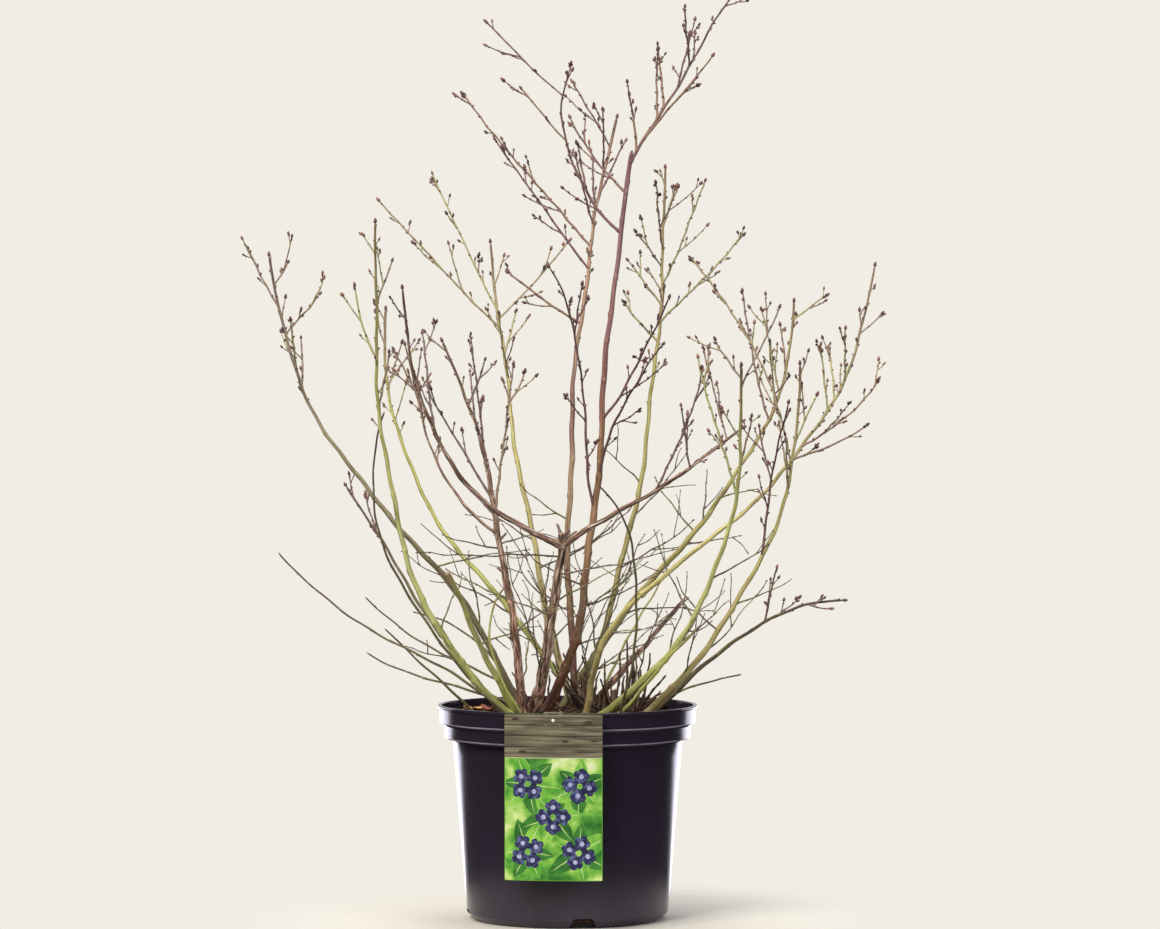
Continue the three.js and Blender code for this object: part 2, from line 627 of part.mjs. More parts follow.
function plant() {
  const shoots = plantShoots();
  const leaders = {};
  for (const limb of LIMBS) {
    const shoot = shoots[limb.name];
    const crownFrom = limb.crown > 0 ? limb.crown + gapShare(shoot, limb.crown) : 0;
    if (limb.crown !== undefined) leaders[limb.name] = part(shoot, crownFrom, 1);
    if (limb.crown !== 0) beads.push(...beadsOf(part(shoot, 0, limb.crown ?? 1), shoot));
    if (limb.crown !== undefined) beads.push(...beadsOf(leaders[limb.name], leaders[limb.name]));
  }

  const meshes = [];
  for (const limb of LIMBS) {
    const shoot = shoots[limb.name];
    const carrier = LIMBS.find(({ name }) => name === limb.on);
    const cut = carrier && limbOf(carrier, shoots[limb.on], CLEARANCE);
    const clearOf = (solid) => (carrier ? solid.subtract(cut) : solid);
    if (limb.crown !== 0) {
      const kind = limb.on ? 'bough' : 'cane';
      const solid = clearOf(limbOf(limb, shoot));
      meshes.push(namedMesh(`${kind}_${limb.name}`, geometryOf(solid), BARK_COLOURS[limb.bark], 0.7));
    }
    if (limb.crown !== undefined) {
      const twigs = crownSolid(limb, growCrown(limb, leaders[limb.name], shoots[limb.on]));
      const solid = limb.crown === 0 ? clearOf(twigs) : twigs;
      meshes.push(namedMesh(`twigs_${limb.name}`, geometryOf(solid), TWIG_COLOUR, 0.8));
    }
  }
  return meshes;
}

// The bare stretch of a limb: from the compost or its carrier up to its crown or its own tip
function limbOf(limb, shoot, grow = 0) {
  const bare = part(shoot, 0, limb.crown ?? 1);
  const blunt = limb.blunt || limb.crown !== undefined;
  return limbSolid(bare, { ...limbOptions(limb, bare, RING_STEP.limb), flared: !limb.on, blunt }, grow);
}

const bush = new THREE.Group();
bush.add(pot(), compost(), label(), ...plant());

export default bush;
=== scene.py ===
"""A highbush blueberry in winter, bare of leaves, in a black nursery pot with a hanging picture label.

Lengths are in millimetres until a mesh is made, and then in metres. +Z is up and the label faces -Y.
The plant grows by the rule of its frame, carried on to spurs, whiskers and buds.
"""

import math
from types import SimpleNamespace

import bmesh
import bpy
import numpy as np
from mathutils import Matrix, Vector, noise


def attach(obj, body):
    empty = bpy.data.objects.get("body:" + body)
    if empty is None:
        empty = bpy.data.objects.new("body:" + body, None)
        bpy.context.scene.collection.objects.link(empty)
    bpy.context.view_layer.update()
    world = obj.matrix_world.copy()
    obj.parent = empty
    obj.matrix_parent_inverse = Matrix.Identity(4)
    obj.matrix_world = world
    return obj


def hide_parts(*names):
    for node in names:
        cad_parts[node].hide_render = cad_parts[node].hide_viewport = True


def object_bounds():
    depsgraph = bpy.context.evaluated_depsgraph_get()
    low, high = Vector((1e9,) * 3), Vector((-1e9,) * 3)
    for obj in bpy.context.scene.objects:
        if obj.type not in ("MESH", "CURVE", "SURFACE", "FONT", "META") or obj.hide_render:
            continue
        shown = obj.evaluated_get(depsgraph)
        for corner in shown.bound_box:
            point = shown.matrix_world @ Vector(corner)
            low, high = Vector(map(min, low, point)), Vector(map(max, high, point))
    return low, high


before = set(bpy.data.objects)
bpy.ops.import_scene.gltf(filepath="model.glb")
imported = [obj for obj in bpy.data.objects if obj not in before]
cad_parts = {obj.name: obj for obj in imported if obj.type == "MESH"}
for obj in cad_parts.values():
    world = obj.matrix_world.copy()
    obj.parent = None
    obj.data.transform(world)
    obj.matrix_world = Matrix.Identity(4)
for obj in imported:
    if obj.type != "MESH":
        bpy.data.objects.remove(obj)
frame_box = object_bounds()

MM = 0.001
UP = np.array([0.0, 0.0, 1.0])
GOLDEN_ANGLE = 137.5

# ---------------------------------------------------------------- driving sizes

CLEARANCE = 0.3

POT_HEIGHT = 214
LIP_RADIUS = 130
LIP_DEPTH = 2.6
UPPER_BAND = dict(radius=128.2, taper=0.5, depth=15)
LOWER_BAND = dict(radius=123.4, taper=0.5, depth=13.4)
BAND_STEP = 1.8
RIM_HIGHLIGHT = 0.8  # half the height of the painted highlight on the rim at a band's foot
BODY_TOP_RADIUS = 114.6
BODY_FOOT_RADIUS = 100.6
FOOT_CORNER = 7
WALL = 2.2
POT_FLOOR = 3
POT_FACETS = 144
NOTCH = dict(count=4, turn=-81, top=18, foot=30, height=10.5, reach=17)

SOIL_LEVEL = 206
SOIL_EDGE_LEVEL = 200
SOIL_FLAT_RADIUS = 106
SOIL_SIDE_GAP = 1.2
SUNK = 7  # how far a cane runs on below the compost's surface

LABEL = dict(width=96, height=163, thickness=0.9, bow=300, turn=-6, hook_width=18, hook_drop=14)

CROWN_TOP = 925
CROWN_FLOOR = 226
BEAD_STEP = 3

# ---------------------------------------------------------------- the plant's limbs

EVEN_PULL = (0.33, 0.33)
USUAL = dict(foot=None, on=None, at=0, pull=EVEN_PULL, crown=1, seed=0, blunt=False, arms=())


def new_limb(name, tip, lean, radius, bark, **more):
    """One row of the table below: each limb has a foot, or else another limb that it springs from."""
    return SimpleNamespace(name=name, tip=tip, lean=lean, radius=radius, bark=bark, **{**USUAL, **more})


def cane(name, foot, *rest, **more):
    return new_limb(name, *rest, foot=foot, **more)


def bough(name, on, at, *rest, **more):
    return new_limb(name, *rest, on=on, at=at, **more)


# foot: where a cane leaves the compost. on, at: the limb that carries a bough, and how far up it. tip: its
# end. lean: degrees from upright towards +X, at root and tip. pull: how far each lean holds, as a share of
# the span. radius: at root and tip. crown: the share of the limb where its twigs start. arms: share of the
# leader, lean from upright, compass turn, length, and the share of its lean that an arm keeps at its tip.
LIMBS = [
    cane("centre", (-24, -30), (64, -34, 766), (34, 9), (5, 2.2), "brown", pull=(0.2, 0.5), blunt=True),
    bough("centre_top", "centre", 0.985, (166, -22, 923), (33, 35), (2.1, 1.1), "brown", crown=0, seed=110,
          arms=[(0.14, 43, -15, 106), (0.45, 14, 15, 54), (0.26, 10, 100, 60), (0.07, 8, 175, 56),
                (0.32, 38, 95, 76), (0.57, 36, 262, 66)]),
    bough("centre_left", "centre", 0.9, (4, -52, 843), (-54, 28), (1.9, 1), "brown", pull=(0.36, 0.3),
          crown=0, seed=120,
          arms=[(0.84, 49, 187, 104), (0.58, 43, 172, 68), (0.3, 14, 215, 46)]),
    bough("centre_left_high", "centre", 0.95, (3, 4, 800), (-55, -28), (1.8, 1), "brown", crown=0,
          seed=130),
    bough("centre_low_right", "centre", 0.64, (99, -110, 618), (42, 24), (1.8, 1), "brown", crown=0,
          seed=140),
    bough("centre_lowest_right", "centre", 0.55, (92, -150, 572), (14, 40), (1.8, 1), "brown", crown=0,
          seed=145),
    bough("centre_low_left", "centre", 0.49, (-17, -130, 647), (-14, -34), (1.8, 1), "brown", crown=0,
          seed=150,
          arms=[(0.7, 12, 320, 50)]),
    cane("brown", (9, -6), (50, 100, 806), (-5, 14), (3.8, 1.4), "brown", pull=(0.36, 0.3), crown=0.6,
         seed=210,
         arms=[(0.06, 58, 175, 90), (0.3, 39, 195, 162), (0.4, 42.5, 170, 204), (0.86, 33, 160, 78),
               (0.18, 30, 75, 50), (0.64, 28, 10, 60), (0.5, 18, 215, 72), (0.57, 38, 95, 76),
               (0.74, 40, 268, 76)]),
    cane("old", (-36, -48), (-5, -82, 388), (16, 3), (5.4, 3.5), "old", blunt=True),
    bough("old_left", "old", 0.93, (-159, -150, 626), (-66, -6), (2.9, 1.1), "old", pull=(0.46, 0.44),
          crown=0.5, seed=310,
          arms=[(0.12, 10, 140, 96), (0.35, 30, 185, 56)]),
    bough("old_right", "old", 0.93, (171, -108, 491), (59, 52), (2.8, 1.1), "old", crown=0.45, seed=320,
          arms=[(0.1, 34, -30, 130, 0.4), (0.45, 26, 250, 66), (0.84, 18, 165, 92, 0.7)]),
    cane("shaggy", (-42, -72), (-123, -60, 576), (-8, -26), (4.3, 1.1), "old", crown=0.5, seed=410,
         arms=[(0.24, 9, 205, 128), (0.05, 7, -40, 150, 1.6), (0.14, 33, 192, 118), (0.64, 24, 30, 48),
               (0.56, 40, 98, 60)]),
    bough("shaggy_left", "shaggy", 0.48, (-162, -5, 573), (-62, -14), (2, 1), "old", pull=(0.3, 0.48),
          crown=0.42, seed=420,
          arms=[(0.4, 26, 110, 54)]),
    cane("yellow", (5, 24), (-81, 200, 682), (-16, -6), (4, 1.2), "yellow_green", crown=0.6, seed=510,
         arms=[(0.54, 46, 185, 180), (0.64, 30, 160, 158, 0.8), (0.58, 45, 15, 112),
               (0.14, 36, 20, 34, 0.6), (0.4, 30, 60, 50), (0.28, 44, 262, 84)]),
    cane("green_left", (14, 46), (-190, 190, 612), (-31, 2), (3.4, 1.3), "green", pull=(0.35, 0.48),
         crown=0.72, seed=610,
         arms=[(0.5, 20, 30, 50), (0.8, 20, 150, 34)]),
    cane("outer_left", (-46, -9), (-298, 0, 662), (-22, -8), (3.6, 1.3), "olive", pull=(0.45, 0.5),
         crown=0.7, seed=710,
         arms=[(0.76, 29, 178, 66), (0.62, 44, -5, 52, 0.85), (0.87, 34, 10, 26), (0.3, 36, 95, 60),
               (0.42, 38, 265, 60)]),
    cane("green_far_left", (-56, -46), (-183, -200, 688), (-50, 1), (3.9, 1.1), "green", pull=(0.35, 0.33),
         crown=0.55, seed=810,
         arms=[(0.44, 26, 190, 74, 0.3), (0.66, 20, 0, 44), (0.25, 24, 300, 56)]),
    cane("dark_left", (-67, 18), (-227, 110, 430), (-42, -33), (2.3, 1.1), "brown", crown=0.66, seed=910,
         arms=[(0.4, 20, 150, 40)]),
    cane("cut_left", (-52, -30), (-117, -110, 350), (-27, -26), (3.4, 2.4), "green", blunt=True),
    cane("short_left", (-42, -98), (-60, -130, 337), (-32, 48), (2, 1.1), "green"),
    cane("thin_left", (-60, 8), (-180, -70, 507), (-50, 22), (2.1, 1.1), "olive", pull=(0.38, 0.34)),
    cane("whip_far_left", (-54, -84), (-285, -62, 368), (-48, -38), (1.9, 1), "olive"),
    cane("whip_back_left", (-34, 62), (-209, 140, 315), (-50, -42), (1.9, 1), "olive"),
    cane("whip_low_left", (-92, -30), (-181, -44, 292), (-46, -50), (1.9, 1), "olive"),
    cane("whip_lowest_left", (-62, 60), (-205, 86, 261), (-50, -50), (1.8, 1), "olive"),
    cane("whip_left", (-48, 86), (-160, 132, 300), (-16, -80), (1.8, 1), "olive"),
    cane("olive", (8, 68), (102, 230, 761), (23, 1), (3.7, 1.2), "olive", crown=0.54, seed=1010,
         arms=[(0.3, 44, 190, 54), (0.38, 46, -5, 124), (0.45, 40, 165, 58), (0.6, 42, 205, 46),
               (0.53, 27, -15, 116, 0.7), (0.76, 22, -30, 44), (0.67, 42, 262, 86)]),
    cane("diagonal", (-8, 13), (233, 140, 619), (30, 2), (4.1, 1.2), "olive", pull=(0.42, 0.38), crown=0.64,
         seed=1110,
         arms=[(0.9, 56, -5, 42), (0.28, 18, 182, 134, 0.3), (0.46, 14, 150, 88), (0.6, 30, 100, 54),
               (0.37, 40, 262, 84)]),
    cane("curved_right", (18, -62), (73, -124, 330), (6, 50), (3.3, 2.5), "green", blunt=True),
    bough("outer_right", "curved_right", 0.985, (309, 30, 653), (52, 10), (2.4, 1.1), "yellow_green",
          pull=(0.42, 0.42), crown=0.45, seed=1210,
          arms=[(0.12, 66, -10, 100, 0.5), (0.04, 76, 15, 84, 0.75), (0.34, 8, 200, 60), (0.4, 40, 95, 66),
                (0.5, 38, 268, 64)]),
    cane("green_right", (34, -46), (167, -190, 551), (52, -2), (3.8, 1.3), "green", pull=(0.4, 0.4),
         crown=0.68, seed=1310,
         arms=[(0.92, 36, 180, 44), (0.86, 27, 0, 84), (0.3, 26, 300, 50), (0.05, 18, 190, 138, 0.8)]),
    cane("green_far_right", (76, -44), (228, -90, 553), (46, -2), (3.5, 1.2), "yellow_green",
         pull=(0.33, 0.4), crown=0.64, seed=1410,
         arms=[(0.5, 26, -10, 52), (0.36, 9, 172, 226, 4.8), (0.2, 30, 262, 60)]),
    bough("brown_right", "green_far_right", 0.53, (215, -122, 515), (0, 10), (1.7, 1), "brown", crown=0,
          seed=1452,
          arms=[(0.5, 14, 160, 52)]),
    cane("pale_right", (46, -72), (130, -130, 300), (50, 46), (2.3, 1.1), "green"),
    cane("brown_low_right", (86, -5), (272, -60, 321), (48, 86), (2.8, 1.1), "brown", pull=(0.42, 0.4),
         crown=0.6, seed=1510,
         arms=[(0.1, 14, 20, 54)]),
    cane("dead_right", (22, 28), (122, 90, 317), (40, 46), (3, 2), "old", blunt=True),
    cane("thin_front", (50, -94), (31, -215, 437), (14, -45), (2, 1.1), "green"),
    cane("thin_back", (26, 76), (98, 180, 334), (26, 27), (2.1, 1.1), "green"),
    cane("whip_right", (76, 30), (176, 60, 240), (58, 76), (1.8, 1), "olive"),
]


# ---------------------------------------------------------------- shoots

def seeded(seed):
    """The same numbers from the same seed, by 32-bit whole-number steps."""
    state = (seed * 2654435761) % 2**32

    def draw():
        nonlocal state
        state = (state * 1664525 + 1013904223) % 2**32
        return state / 2**32
    return draw


def lerp(low, high, share):
    return low + (high - low) * share


def unit(vector):
    return vector / np.linalg.norm(vector, axis=-1, keepdims=True)


def leaning(lean, back):
    angle = math.radians(lean)
    return unit(np.array([math.sin(angle), back, math.cos(angle)]))


def heading(lean, turn):
    down, round_ = math.radians(lean), math.radians(turn)
    return np.array([
        math.sin(down) * math.cos(round_), math.sin(down) * math.sin(round_), math.cos(down),
    ])


def between(one, other, angle):
    """The direction at an angle from one direction towards another."""
    return one * math.cos(angle) + other * math.sin(angle)


def across(tangent):
    """Two directions across a tangent."""
    side = unit(np.cross(tangent, [0.0, 1.0, 0.0]))
    return side, np.cross(side, tangent)


THINNING = 1.35  # above 1, a shoot thins faster near its root than near its tip
CANE_SWAY = 1.6
THIN_SWAY = 0.8  # the most that a thin limb sways, in radii
ARM_SWAY = 0.8
WHISKER_SWAY = 2.6
# How a grown shoot wanders: along which of two directions across it, by what share of its sway, how many
# millimetres make a radian, and how fast the phase counts
WANDER = ((0, 1.0, 29, 1.0), (1, 1.0, 37, 2.1), (0, 0.3, 7.3, 3.7))
WANDER_FREE = 5  # the wander is whole where this many times the share from either end is above 1


class Shoot:
    """A cubic curve with a radius that tapers along it, between two shares of the curve.

    sway is how far the curve wanders to and fro in millimetres, as grown wood does."""

    def __init__(self, root, leave, arrive, tip, pull, radius, sway=0.0, phase=0.0):
        self.span = float(np.linalg.norm(tip - root))
        self.corners = np.array([
            root, root + leave * pull[0] * self.span, tip - arrive * pull[1] * self.span, tip,
        ])
        self.radius, self.sway, self.phase = radius, sway, phase
        self.start, self.end = 0.0, 1.0

    def part(self, start, end):
        piece = object.__new__(Shoot)
        piece.__dict__.update(self.__dict__, start=start, end=end, span=self.span * (end - start))
        return piece

    def at(self, share):
        t = lerp(self.start, self.end, np.asarray(share, float))[..., None]
        a, b, c, d = self.corners
        spot = a * (1 - t) ** 3 + 3 * b * t * (1 - t) ** 2 + 3 * c * t ** 2 * (1 - t) + d * t ** 3
        if self.sway:
            ways = across(unit(d - a))
            run = t * np.linalg.norm(d - a)
            free = np.minimum(1, np.minimum(t, 1 - t) * WANDER_FREE) * self.sway
            for way, part, stride, pace in WANDER:
                spot = spot + ways[way] * part * free * np.sin(run / stride + pace * self.phase)
        return spot

    def tangent(self, share):
        step = 1e-4
        share = np.asarray(share, float)
        ahead, behind = np.minimum(share + step, 1), np.maximum(share - step, 0)
        return unit(self.at(ahead) - self.at(behind))

    def thickness(self, share):
        left = 1 - lerp(self.start, self.end, np.asarray(share, float))
        return lerp(*self.radius, 1 - left ** THINNING)

    def even_shares(self, step):
        """Shares that are evenly spaced along the curve's real length, and that length."""
        tries = np.linspace(0, 1, 400)
        legs = np.linalg.norm(np.diff(self.at(tries), axis=0), axis=1)
        run = np.concatenate([[0], np.cumsum(legs)])
        count = max(2, round(run[-1] / step))
        return np.interp(np.linspace(0, run[-1], count + 1), run, tries), run[-1]


def plant_shoots():
    """The whole shoot of each limb, from its foot or from the axis of the limb that carries it."""
    shoots = {}
    for i, limb in enumerate(LIMBS):
        if limb.foot:
            root = np.array([*limb.foot, SOIL_LEVEL], float)
        else:
            root = shoots[limb.on].at(limb.at)
        tip = np.array(limb.tip, float)
        back = (tip[1] - root[1]) / np.linalg.norm(tip - root)
        leave, arrive = (leaning(lean, back) for lean in limb.lean)
        pull = limb.pull
        sway = min(CANE_SWAY, THIN_SWAY * limb.radius[0])
        shoots[limb.name] = Shoot(root, leave, arrive, tip, pull, limb.radius, sway, 1.3 * i)
    return shoots


# ---------------------------------------------------------------- keeping clear

class Room:
    """Every shoot as a row of beads, so that a new one can be tested against all that stand already."""

    def __init__(self, low, high):
        self.low, self.high = low, high
        self.rows, self.lows, self.highs = [], [], []

    def beads(self, shoot):
        shares = np.linspace(0, 1, math.ceil(shoot.span / BEAD_STEP) + 1)
        return shoot.at(shares), shoot.thickness(shares)

    def add(self, shoot, owner=None):
        spots, radii = self.beads(shoot)
        self.rows.append((spots, radii, owner or shoot))
        self.lows.append(spots.min(0) - radii.max())
        self.highs.append(spots.max(0) + radii.max())

    def admits(self, shoot, parents, gap):
        """Keeps a new shoot if it stays in the crown and touches nothing but its parents."""
        spots, radii = self.beads(shoot)
        if (spots < self.low).any() or (spots > self.high).any():
            return False
        reach = radii.max() + gap
        near = (np.array(self.lows) < spots.max(0) + reach).all(1)
        near &= (np.array(self.highs) > spots.min(0) - reach).all(1)
        for i in np.flatnonzero(near):
            others, thick, owner = self.rows[i]
            if any(owner is parent for parent in parents):
                continue
            apart = np.linalg.norm(spots[:, None] - others[None], axis=2)
            if (apart <= radii[:, None] + thick[None] + gap).any():
                return False
        self.add(shoot)
        return True

    def keep(self, shoots, parents, gap):
        """The shoots that there is room for, taken in their order."""
        return [shoot for shoot in shoots if self.admits(shoot, parents, gap)]


# ---------------------------------------------------------------- crowns

ARM = dict(rise=0.9, share=0.85, thickest=1.7, tip=1.0)
# spacing: millimetres of shoot per twig. zone: the shares of a shoot that carry twigs. shrink: how much of
# the range of lengths is used, from the zone's foot to its tip. fork: degrees from the shoot.
TWIG = dict(spacing=58, zone=(0.16, 0.95), length=(14, 58), shrink=(1.1, 0.3), fork=(22, 44), wander=50,
            uplift=0.35, radius=(1.1, 0.8))
SPUR = dict(spacing=34, zone=(0.12, 0.93), length=(4, 15), shrink=(1, 0.5), fork=(28, 52), wander=70,
            uplift=0.4, radius=(0.78, 0.62))
WHISKER = dict(spacing=74, zone=(0.03, 0.5), length=(36, 180), shrink=(1.0, 0.6), fork=(20, 58), wander=120,
               uplift=(-0.3, 0.8), radius=(0.95, 0.45))
HAIR = dict(spacing=56, zone=(0.2, 0.85), length=(14, 70), shrink=(1.0, 0.5), fork=(24, 50), wander=90,
            uplift=(-0.3, 0.5), radius=(0.62, 0.42))
SNAG = dict(spacing=24, zone=(0.06, 0.97), length=(4, 13), shrink=(1.0, 1.0), fork=(35, 75), wander=120,
            uplift=0.3, radius=(1.7, 1.1))
KNUCKLE = dict(spacing=4, zone=(0.1, 1.0), length=(5, 20), shrink=(1.0, 1.0), fork=(30, 85), wander=140,
               uplift=0.3, radius=(2.1, 1.1))
# Thin dead branches on the old wood and beside it, as rows like the arms of a crown
DEAD_BRANCHES = {
    "old": [
        (0.9, 60, -8, 70), (0.77, 78, 10, 122, 1.0), (0.87, 87, 186, 142, 1.02), (0.62, 64, 352, 74),
        (0.55, 70, 196, 66, 1.0), (0.42, 52, 20, 58),
    ],
    "shaggy": [(0.44, 77, 172, 58, 1.0), (0.45, 72, 14, 46, 1.0), (0.3, 66, 190, 72), (0.22, 58, -20, 54)],
    "diagonal": [(0.43, 38, 183, 68), (0.46, 7, 300, 52), (0.4, 84, 20, 60, 1.0), (0.52, 78, 320, 52, 1.0)],
    "olive": [(0.36, 54, 8, 84, 0.5), (0.26, 60, 350, 92, 0.9), (0.42, 50, 200, 60)],
    "green_right": [(0.34, 30, 200, 96, 0.7), (0.46, 62, 8, 66), (0.26, 56, 330, 70)],
    "green_far_right": [(0.3, 48, 170, 66, 0.6), (0.38, 70, 10, 62)],
    "centre": [(0.34, 66, 196, 70, 0.8), (0.42, 50, 10, 62), (0.3, 74, 15, 80, 0.9)],
    "brown": [(0.3, 56, 188, 60), (0.24, 62, 20, 66)],
    "yellow": [(0.36, 58, 178, 62), (0.3, 66, 12, 58)],
    "cut_left": [(0.5, 74, 12, 62, 1.0), (0.7, 30, 200, 50)],
    "outer_left": [(0.3, 80, 12, 96, 1.0), (0.22, 40, 180, 50)],
}
DEAD_RADIUS = (1.0, 0.5)
DEAD_SWAY = 2.0
WHISKER_RADIUS = 3  # canes no thicker than this carry no dead whips
WHISKER_CEILING = 400  # no dead whip starts or ends above this
TWIG_GAP = 2  # clear space round a twig
FINE_GAP = 0.6  # clear space round an arm, a spur or a dead shoot
KNUCKLE_START = 0.9  # the share of the old cane above which its stump has knuckles
SIDE_ROOM = 4  # how far a fine twig may pass the frame's sides
SPUR_SEED = 7  # a crown's spurs start from its seed so many times over
# The seeds of every other kind of growth
SEEDS = dict(limbs=50, dead=77, clumps=4711, buds=5000, whiskers=9000, hairs=9500, snags=9800, knuckles=9900)


def arm_on(leader, row, phase):
    share, lean, turn, length = row[:4]
    rise = row[4] if len(row) > 4 else ARM["rise"]
    root = leader.at(share)
    leave = heading(lean, turn)
    arrive = heading(lean * rise, turn)
    tip = root + unit(leave + arrive) * length
    thick = min(float(leader.thickness(share)) * ARM["share"], ARM["thickest"])
    return Shoot(root, leave, arrive, tip, EVEN_PULL, (thick, ARM["tip"]), ARM_SWAY, phase)


def twigs_on(shoot, draw, habit, sway=0.0):
    """The short twigs of one shoot, turning round it by the golden angle."""
    count = max(1, math.floor(shoot.span / habit["spacing"] + 0.5))
    start = 360 * draw()
    for i in range(count):
        share = lerp(*habit["zone"], (i + draw()) / count)
        turn = math.radians(start + GOLDEN_ANGLE * i + habit["wander"] * draw())
        fork = math.radians(lerp(*habit["fork"], draw()))
        scope = lerp(*habit["shrink"], share)
        length = lerp(*habit["length"], draw() * scope)
        tangent = shoot.tangent(share)
        side, other = across(tangent)
        leave = between(tangent, between(side, other, turn), fork)
        uplift = lerp(*habit["uplift"], draw()) if isinstance(habit["uplift"], tuple) else habit["uplift"]
        arrive = unit(leave + UP * uplift)
        root = shoot.at(share)
        tip = root + unit(leave + arrive) * length
        yield Shoot(root, leave, arrive, tip, EVEN_PULL, habit["radius"], sway, start + i)


def grow_plant(shoots):
    """Grows every crown. Returns each crown's shoots by kind, and the room that they leave."""
    low, high = (np.array(corner) / MM for corner in frame_box)
    low, high = low - SIDE_ROOM, high + SIDE_ROOM
    low[2], high[2] = CROWN_FLOOR, CROWN_TOP
    room, crowns = Room(low, high), {}
    for limb in LIMBS:
        shoot, crown = shoots[limb.name], limb.crown
        if crown > 0:
            room.add(shoot.part(0, crown), shoot)
        if crown < 1:
            crowns[limb.name] = dict(leader=shoot.part(crown, 1), spurs=[])
            room.add(crowns[limb.name]["leader"])

    crowned = [limb for limb in LIMBS if limb.crown < 1]
    for limb in crowned:
        crown = crowns[limb.name]
        leader, twigs = crown["leader"], []
        parents = [leader, shoots[limb.on]] if limb.crown == 0 else [leader]
        tries = [arm_on(leader, row, i + 0.7) for i, row in enumerate(limb.arms)]
        crown["arms"] = room.keep(tries, parents, FINE_GAP)
        for i, shoot in enumerate([leader, *crown["arms"]]):
            twigs += room.keep(twigs_on(shoot, seeded(limb.seed + i), TWIG), [shoot], TWIG_GAP)
        crown["twigs"] = twigs

    for limb in crowned:
        crown = crowns[limb.name]
        for i, shoot in enumerate([crown["leader"], *crown["arms"], *crown["twigs"]]):
            spurs = twigs_on(shoot, seeded(limb.seed * SPUR_SEED + i), SPUR)
            crown["spurs"] += room.keep(spurs, [shoot], FINE_GAP)
    return crowns, room


def grow_dead_wood(shoots, room):
    """Thin dead whips on the canes' bare feet, each with a few hairs, and the snags of old bark."""
    growths = []
    for k, limb in enumerate(LIMBS):
        if limb.crown == 0 or limb.radius[0] <= WHISKER_RADIUS:
            continue
        shoot = shoots[limb.name]
        bare = shoot.part(0, limb.crown)
        tries = twigs_on(bare, seeded(SEEDS["whiskers"] + 10 * k), WHISKER, WHISKER_SWAY)
        low = [whip for whip in tries if whip.corners[[0, -1], 2].max() < WHISKER_CEILING]
        whips = room.keep(low, [shoot], FINE_GAP)
        branches = [arm_on(shoot, row, 2.3 * i)
                    for i, row in enumerate(DEAD_BRANCHES.get(limb.name, ()))]
        for branch in branches:
            branch.radius, branch.sway = DEAD_RADIUS, DEAD_SWAY
        whips += room.keep(branches, [shoot], FINE_GAP)
        hairs, snags = [], []
        for i, whip in enumerate(whips):
            tries = twigs_on(whip, seeded(SEEDS["hairs"] + 40 * k + i), HAIR, ARM_SWAY)
            hairs += room.keep(tries, [whip], FINE_GAP)
        if limb.bark == "old":
            snags = room.keep(twigs_on(bare, seeded(SEEDS["snags"] + 10 * k), SNAG), [shoot], FINE_GAP)
        if limb.name == "old":
            snags += twigs_on(shoot.part(KNUCKLE_START, 1), seeded(SEEDS["knuckles"]), KNUCKLE)
        growths.append(dict(whiskers=whips, hairs=hairs, snags=snags))
    return growths


# Broken dead sticks that stand in the compost: centre and radius of each clump, how many, and the longest
CLUMPS = (((46, -16), 27, 60, 78), ((18, 6), 18, 14, 54), ((-28, 10), 20, 12, 54))
STICK = dict(sunk=3.0, shortest=16, lean=(8, 58), radius=(1.7, 0.8), twist=70, bend=1.5)


def grow_sticks():
    """The broken sticks of each clump, strewn evenly over its round."""
    draw, sticks = seeded(SEEDS["clumps"]), []
    for (x, y), reach, count, longest in CLUMPS:
        for _ in range(count):
            turn, far = 360 * draw(), math.sqrt(draw())
            root = np.array([x, y, SOIL_LEVEL - STICK["sunk"]]) + heading(90, turn) * far * reach
            lean, length = lerp(*STICK["lean"], draw()), lerp(STICK["shortest"], longest, draw() ** 1.5)
            leave = heading(lean, turn + STICK["twist"] * draw())
            arrive = heading(lean * draw() * STICK["bend"], turn)
            tip = root + unit(leave + arrive) * length
            sticks.append(Shoot(root, leave, arrive, tip, EVEN_PULL, STICK["radius"], ARM_SWAY, turn))
    return sticks


# ---------------------------------------------------------------- making objects

def link(obj):
    bpy.context.scene.collection.objects.link(obj)
    return obj


def mesh_object(name, points, faces, smooth=True):
    """A mesh from points in millimetres."""
    mesh = bpy.data.meshes.new(name)
    mesh.from_pydata((np.asarray(points, float) * MM).tolist(), [], faces)
    mesh.shade_smooth() if smooth else mesh.shade_flat()
    return link(bpy.data.objects.new(name, mesh))


def put(obj, finish, slot, *nodes):
    """Gives a piece its finish, hangs it under the root, and hides the frame's nodes that it stands for;
    slot is not used.
    """
    if finish is not None:
        obj.data.materials.clear()
        for one in (finish if isinstance(finish, (list, tuple)) else [finish]):
            obj.data.materials.append(one)
    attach(obj, "root")
    if nodes:
        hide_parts(*nodes)
    return obj


def keep_attribute(mesh, name, kind, values):
    attribute = mesh.attributes.new(name, kind, "POINT")
    field = {"FLOAT": "value", "INT": "value", "FLOAT_VECTOR": "vector"}[kind]
    attribute.data.foreach_set(field, np.asarray(values).ravel())


def ring_faces(first, rings, sides):
    """Quads between rings of points that follow one another in a mesh."""
    faces = []
    for ring in range(rings - 1):
        low, high = first + ring * sides, first + (ring + 1) * sides
        for k in range(sides):
            n = (k + 1) % sides
            faces.append((low + k, low + n, high + n, high + k))
    return faces


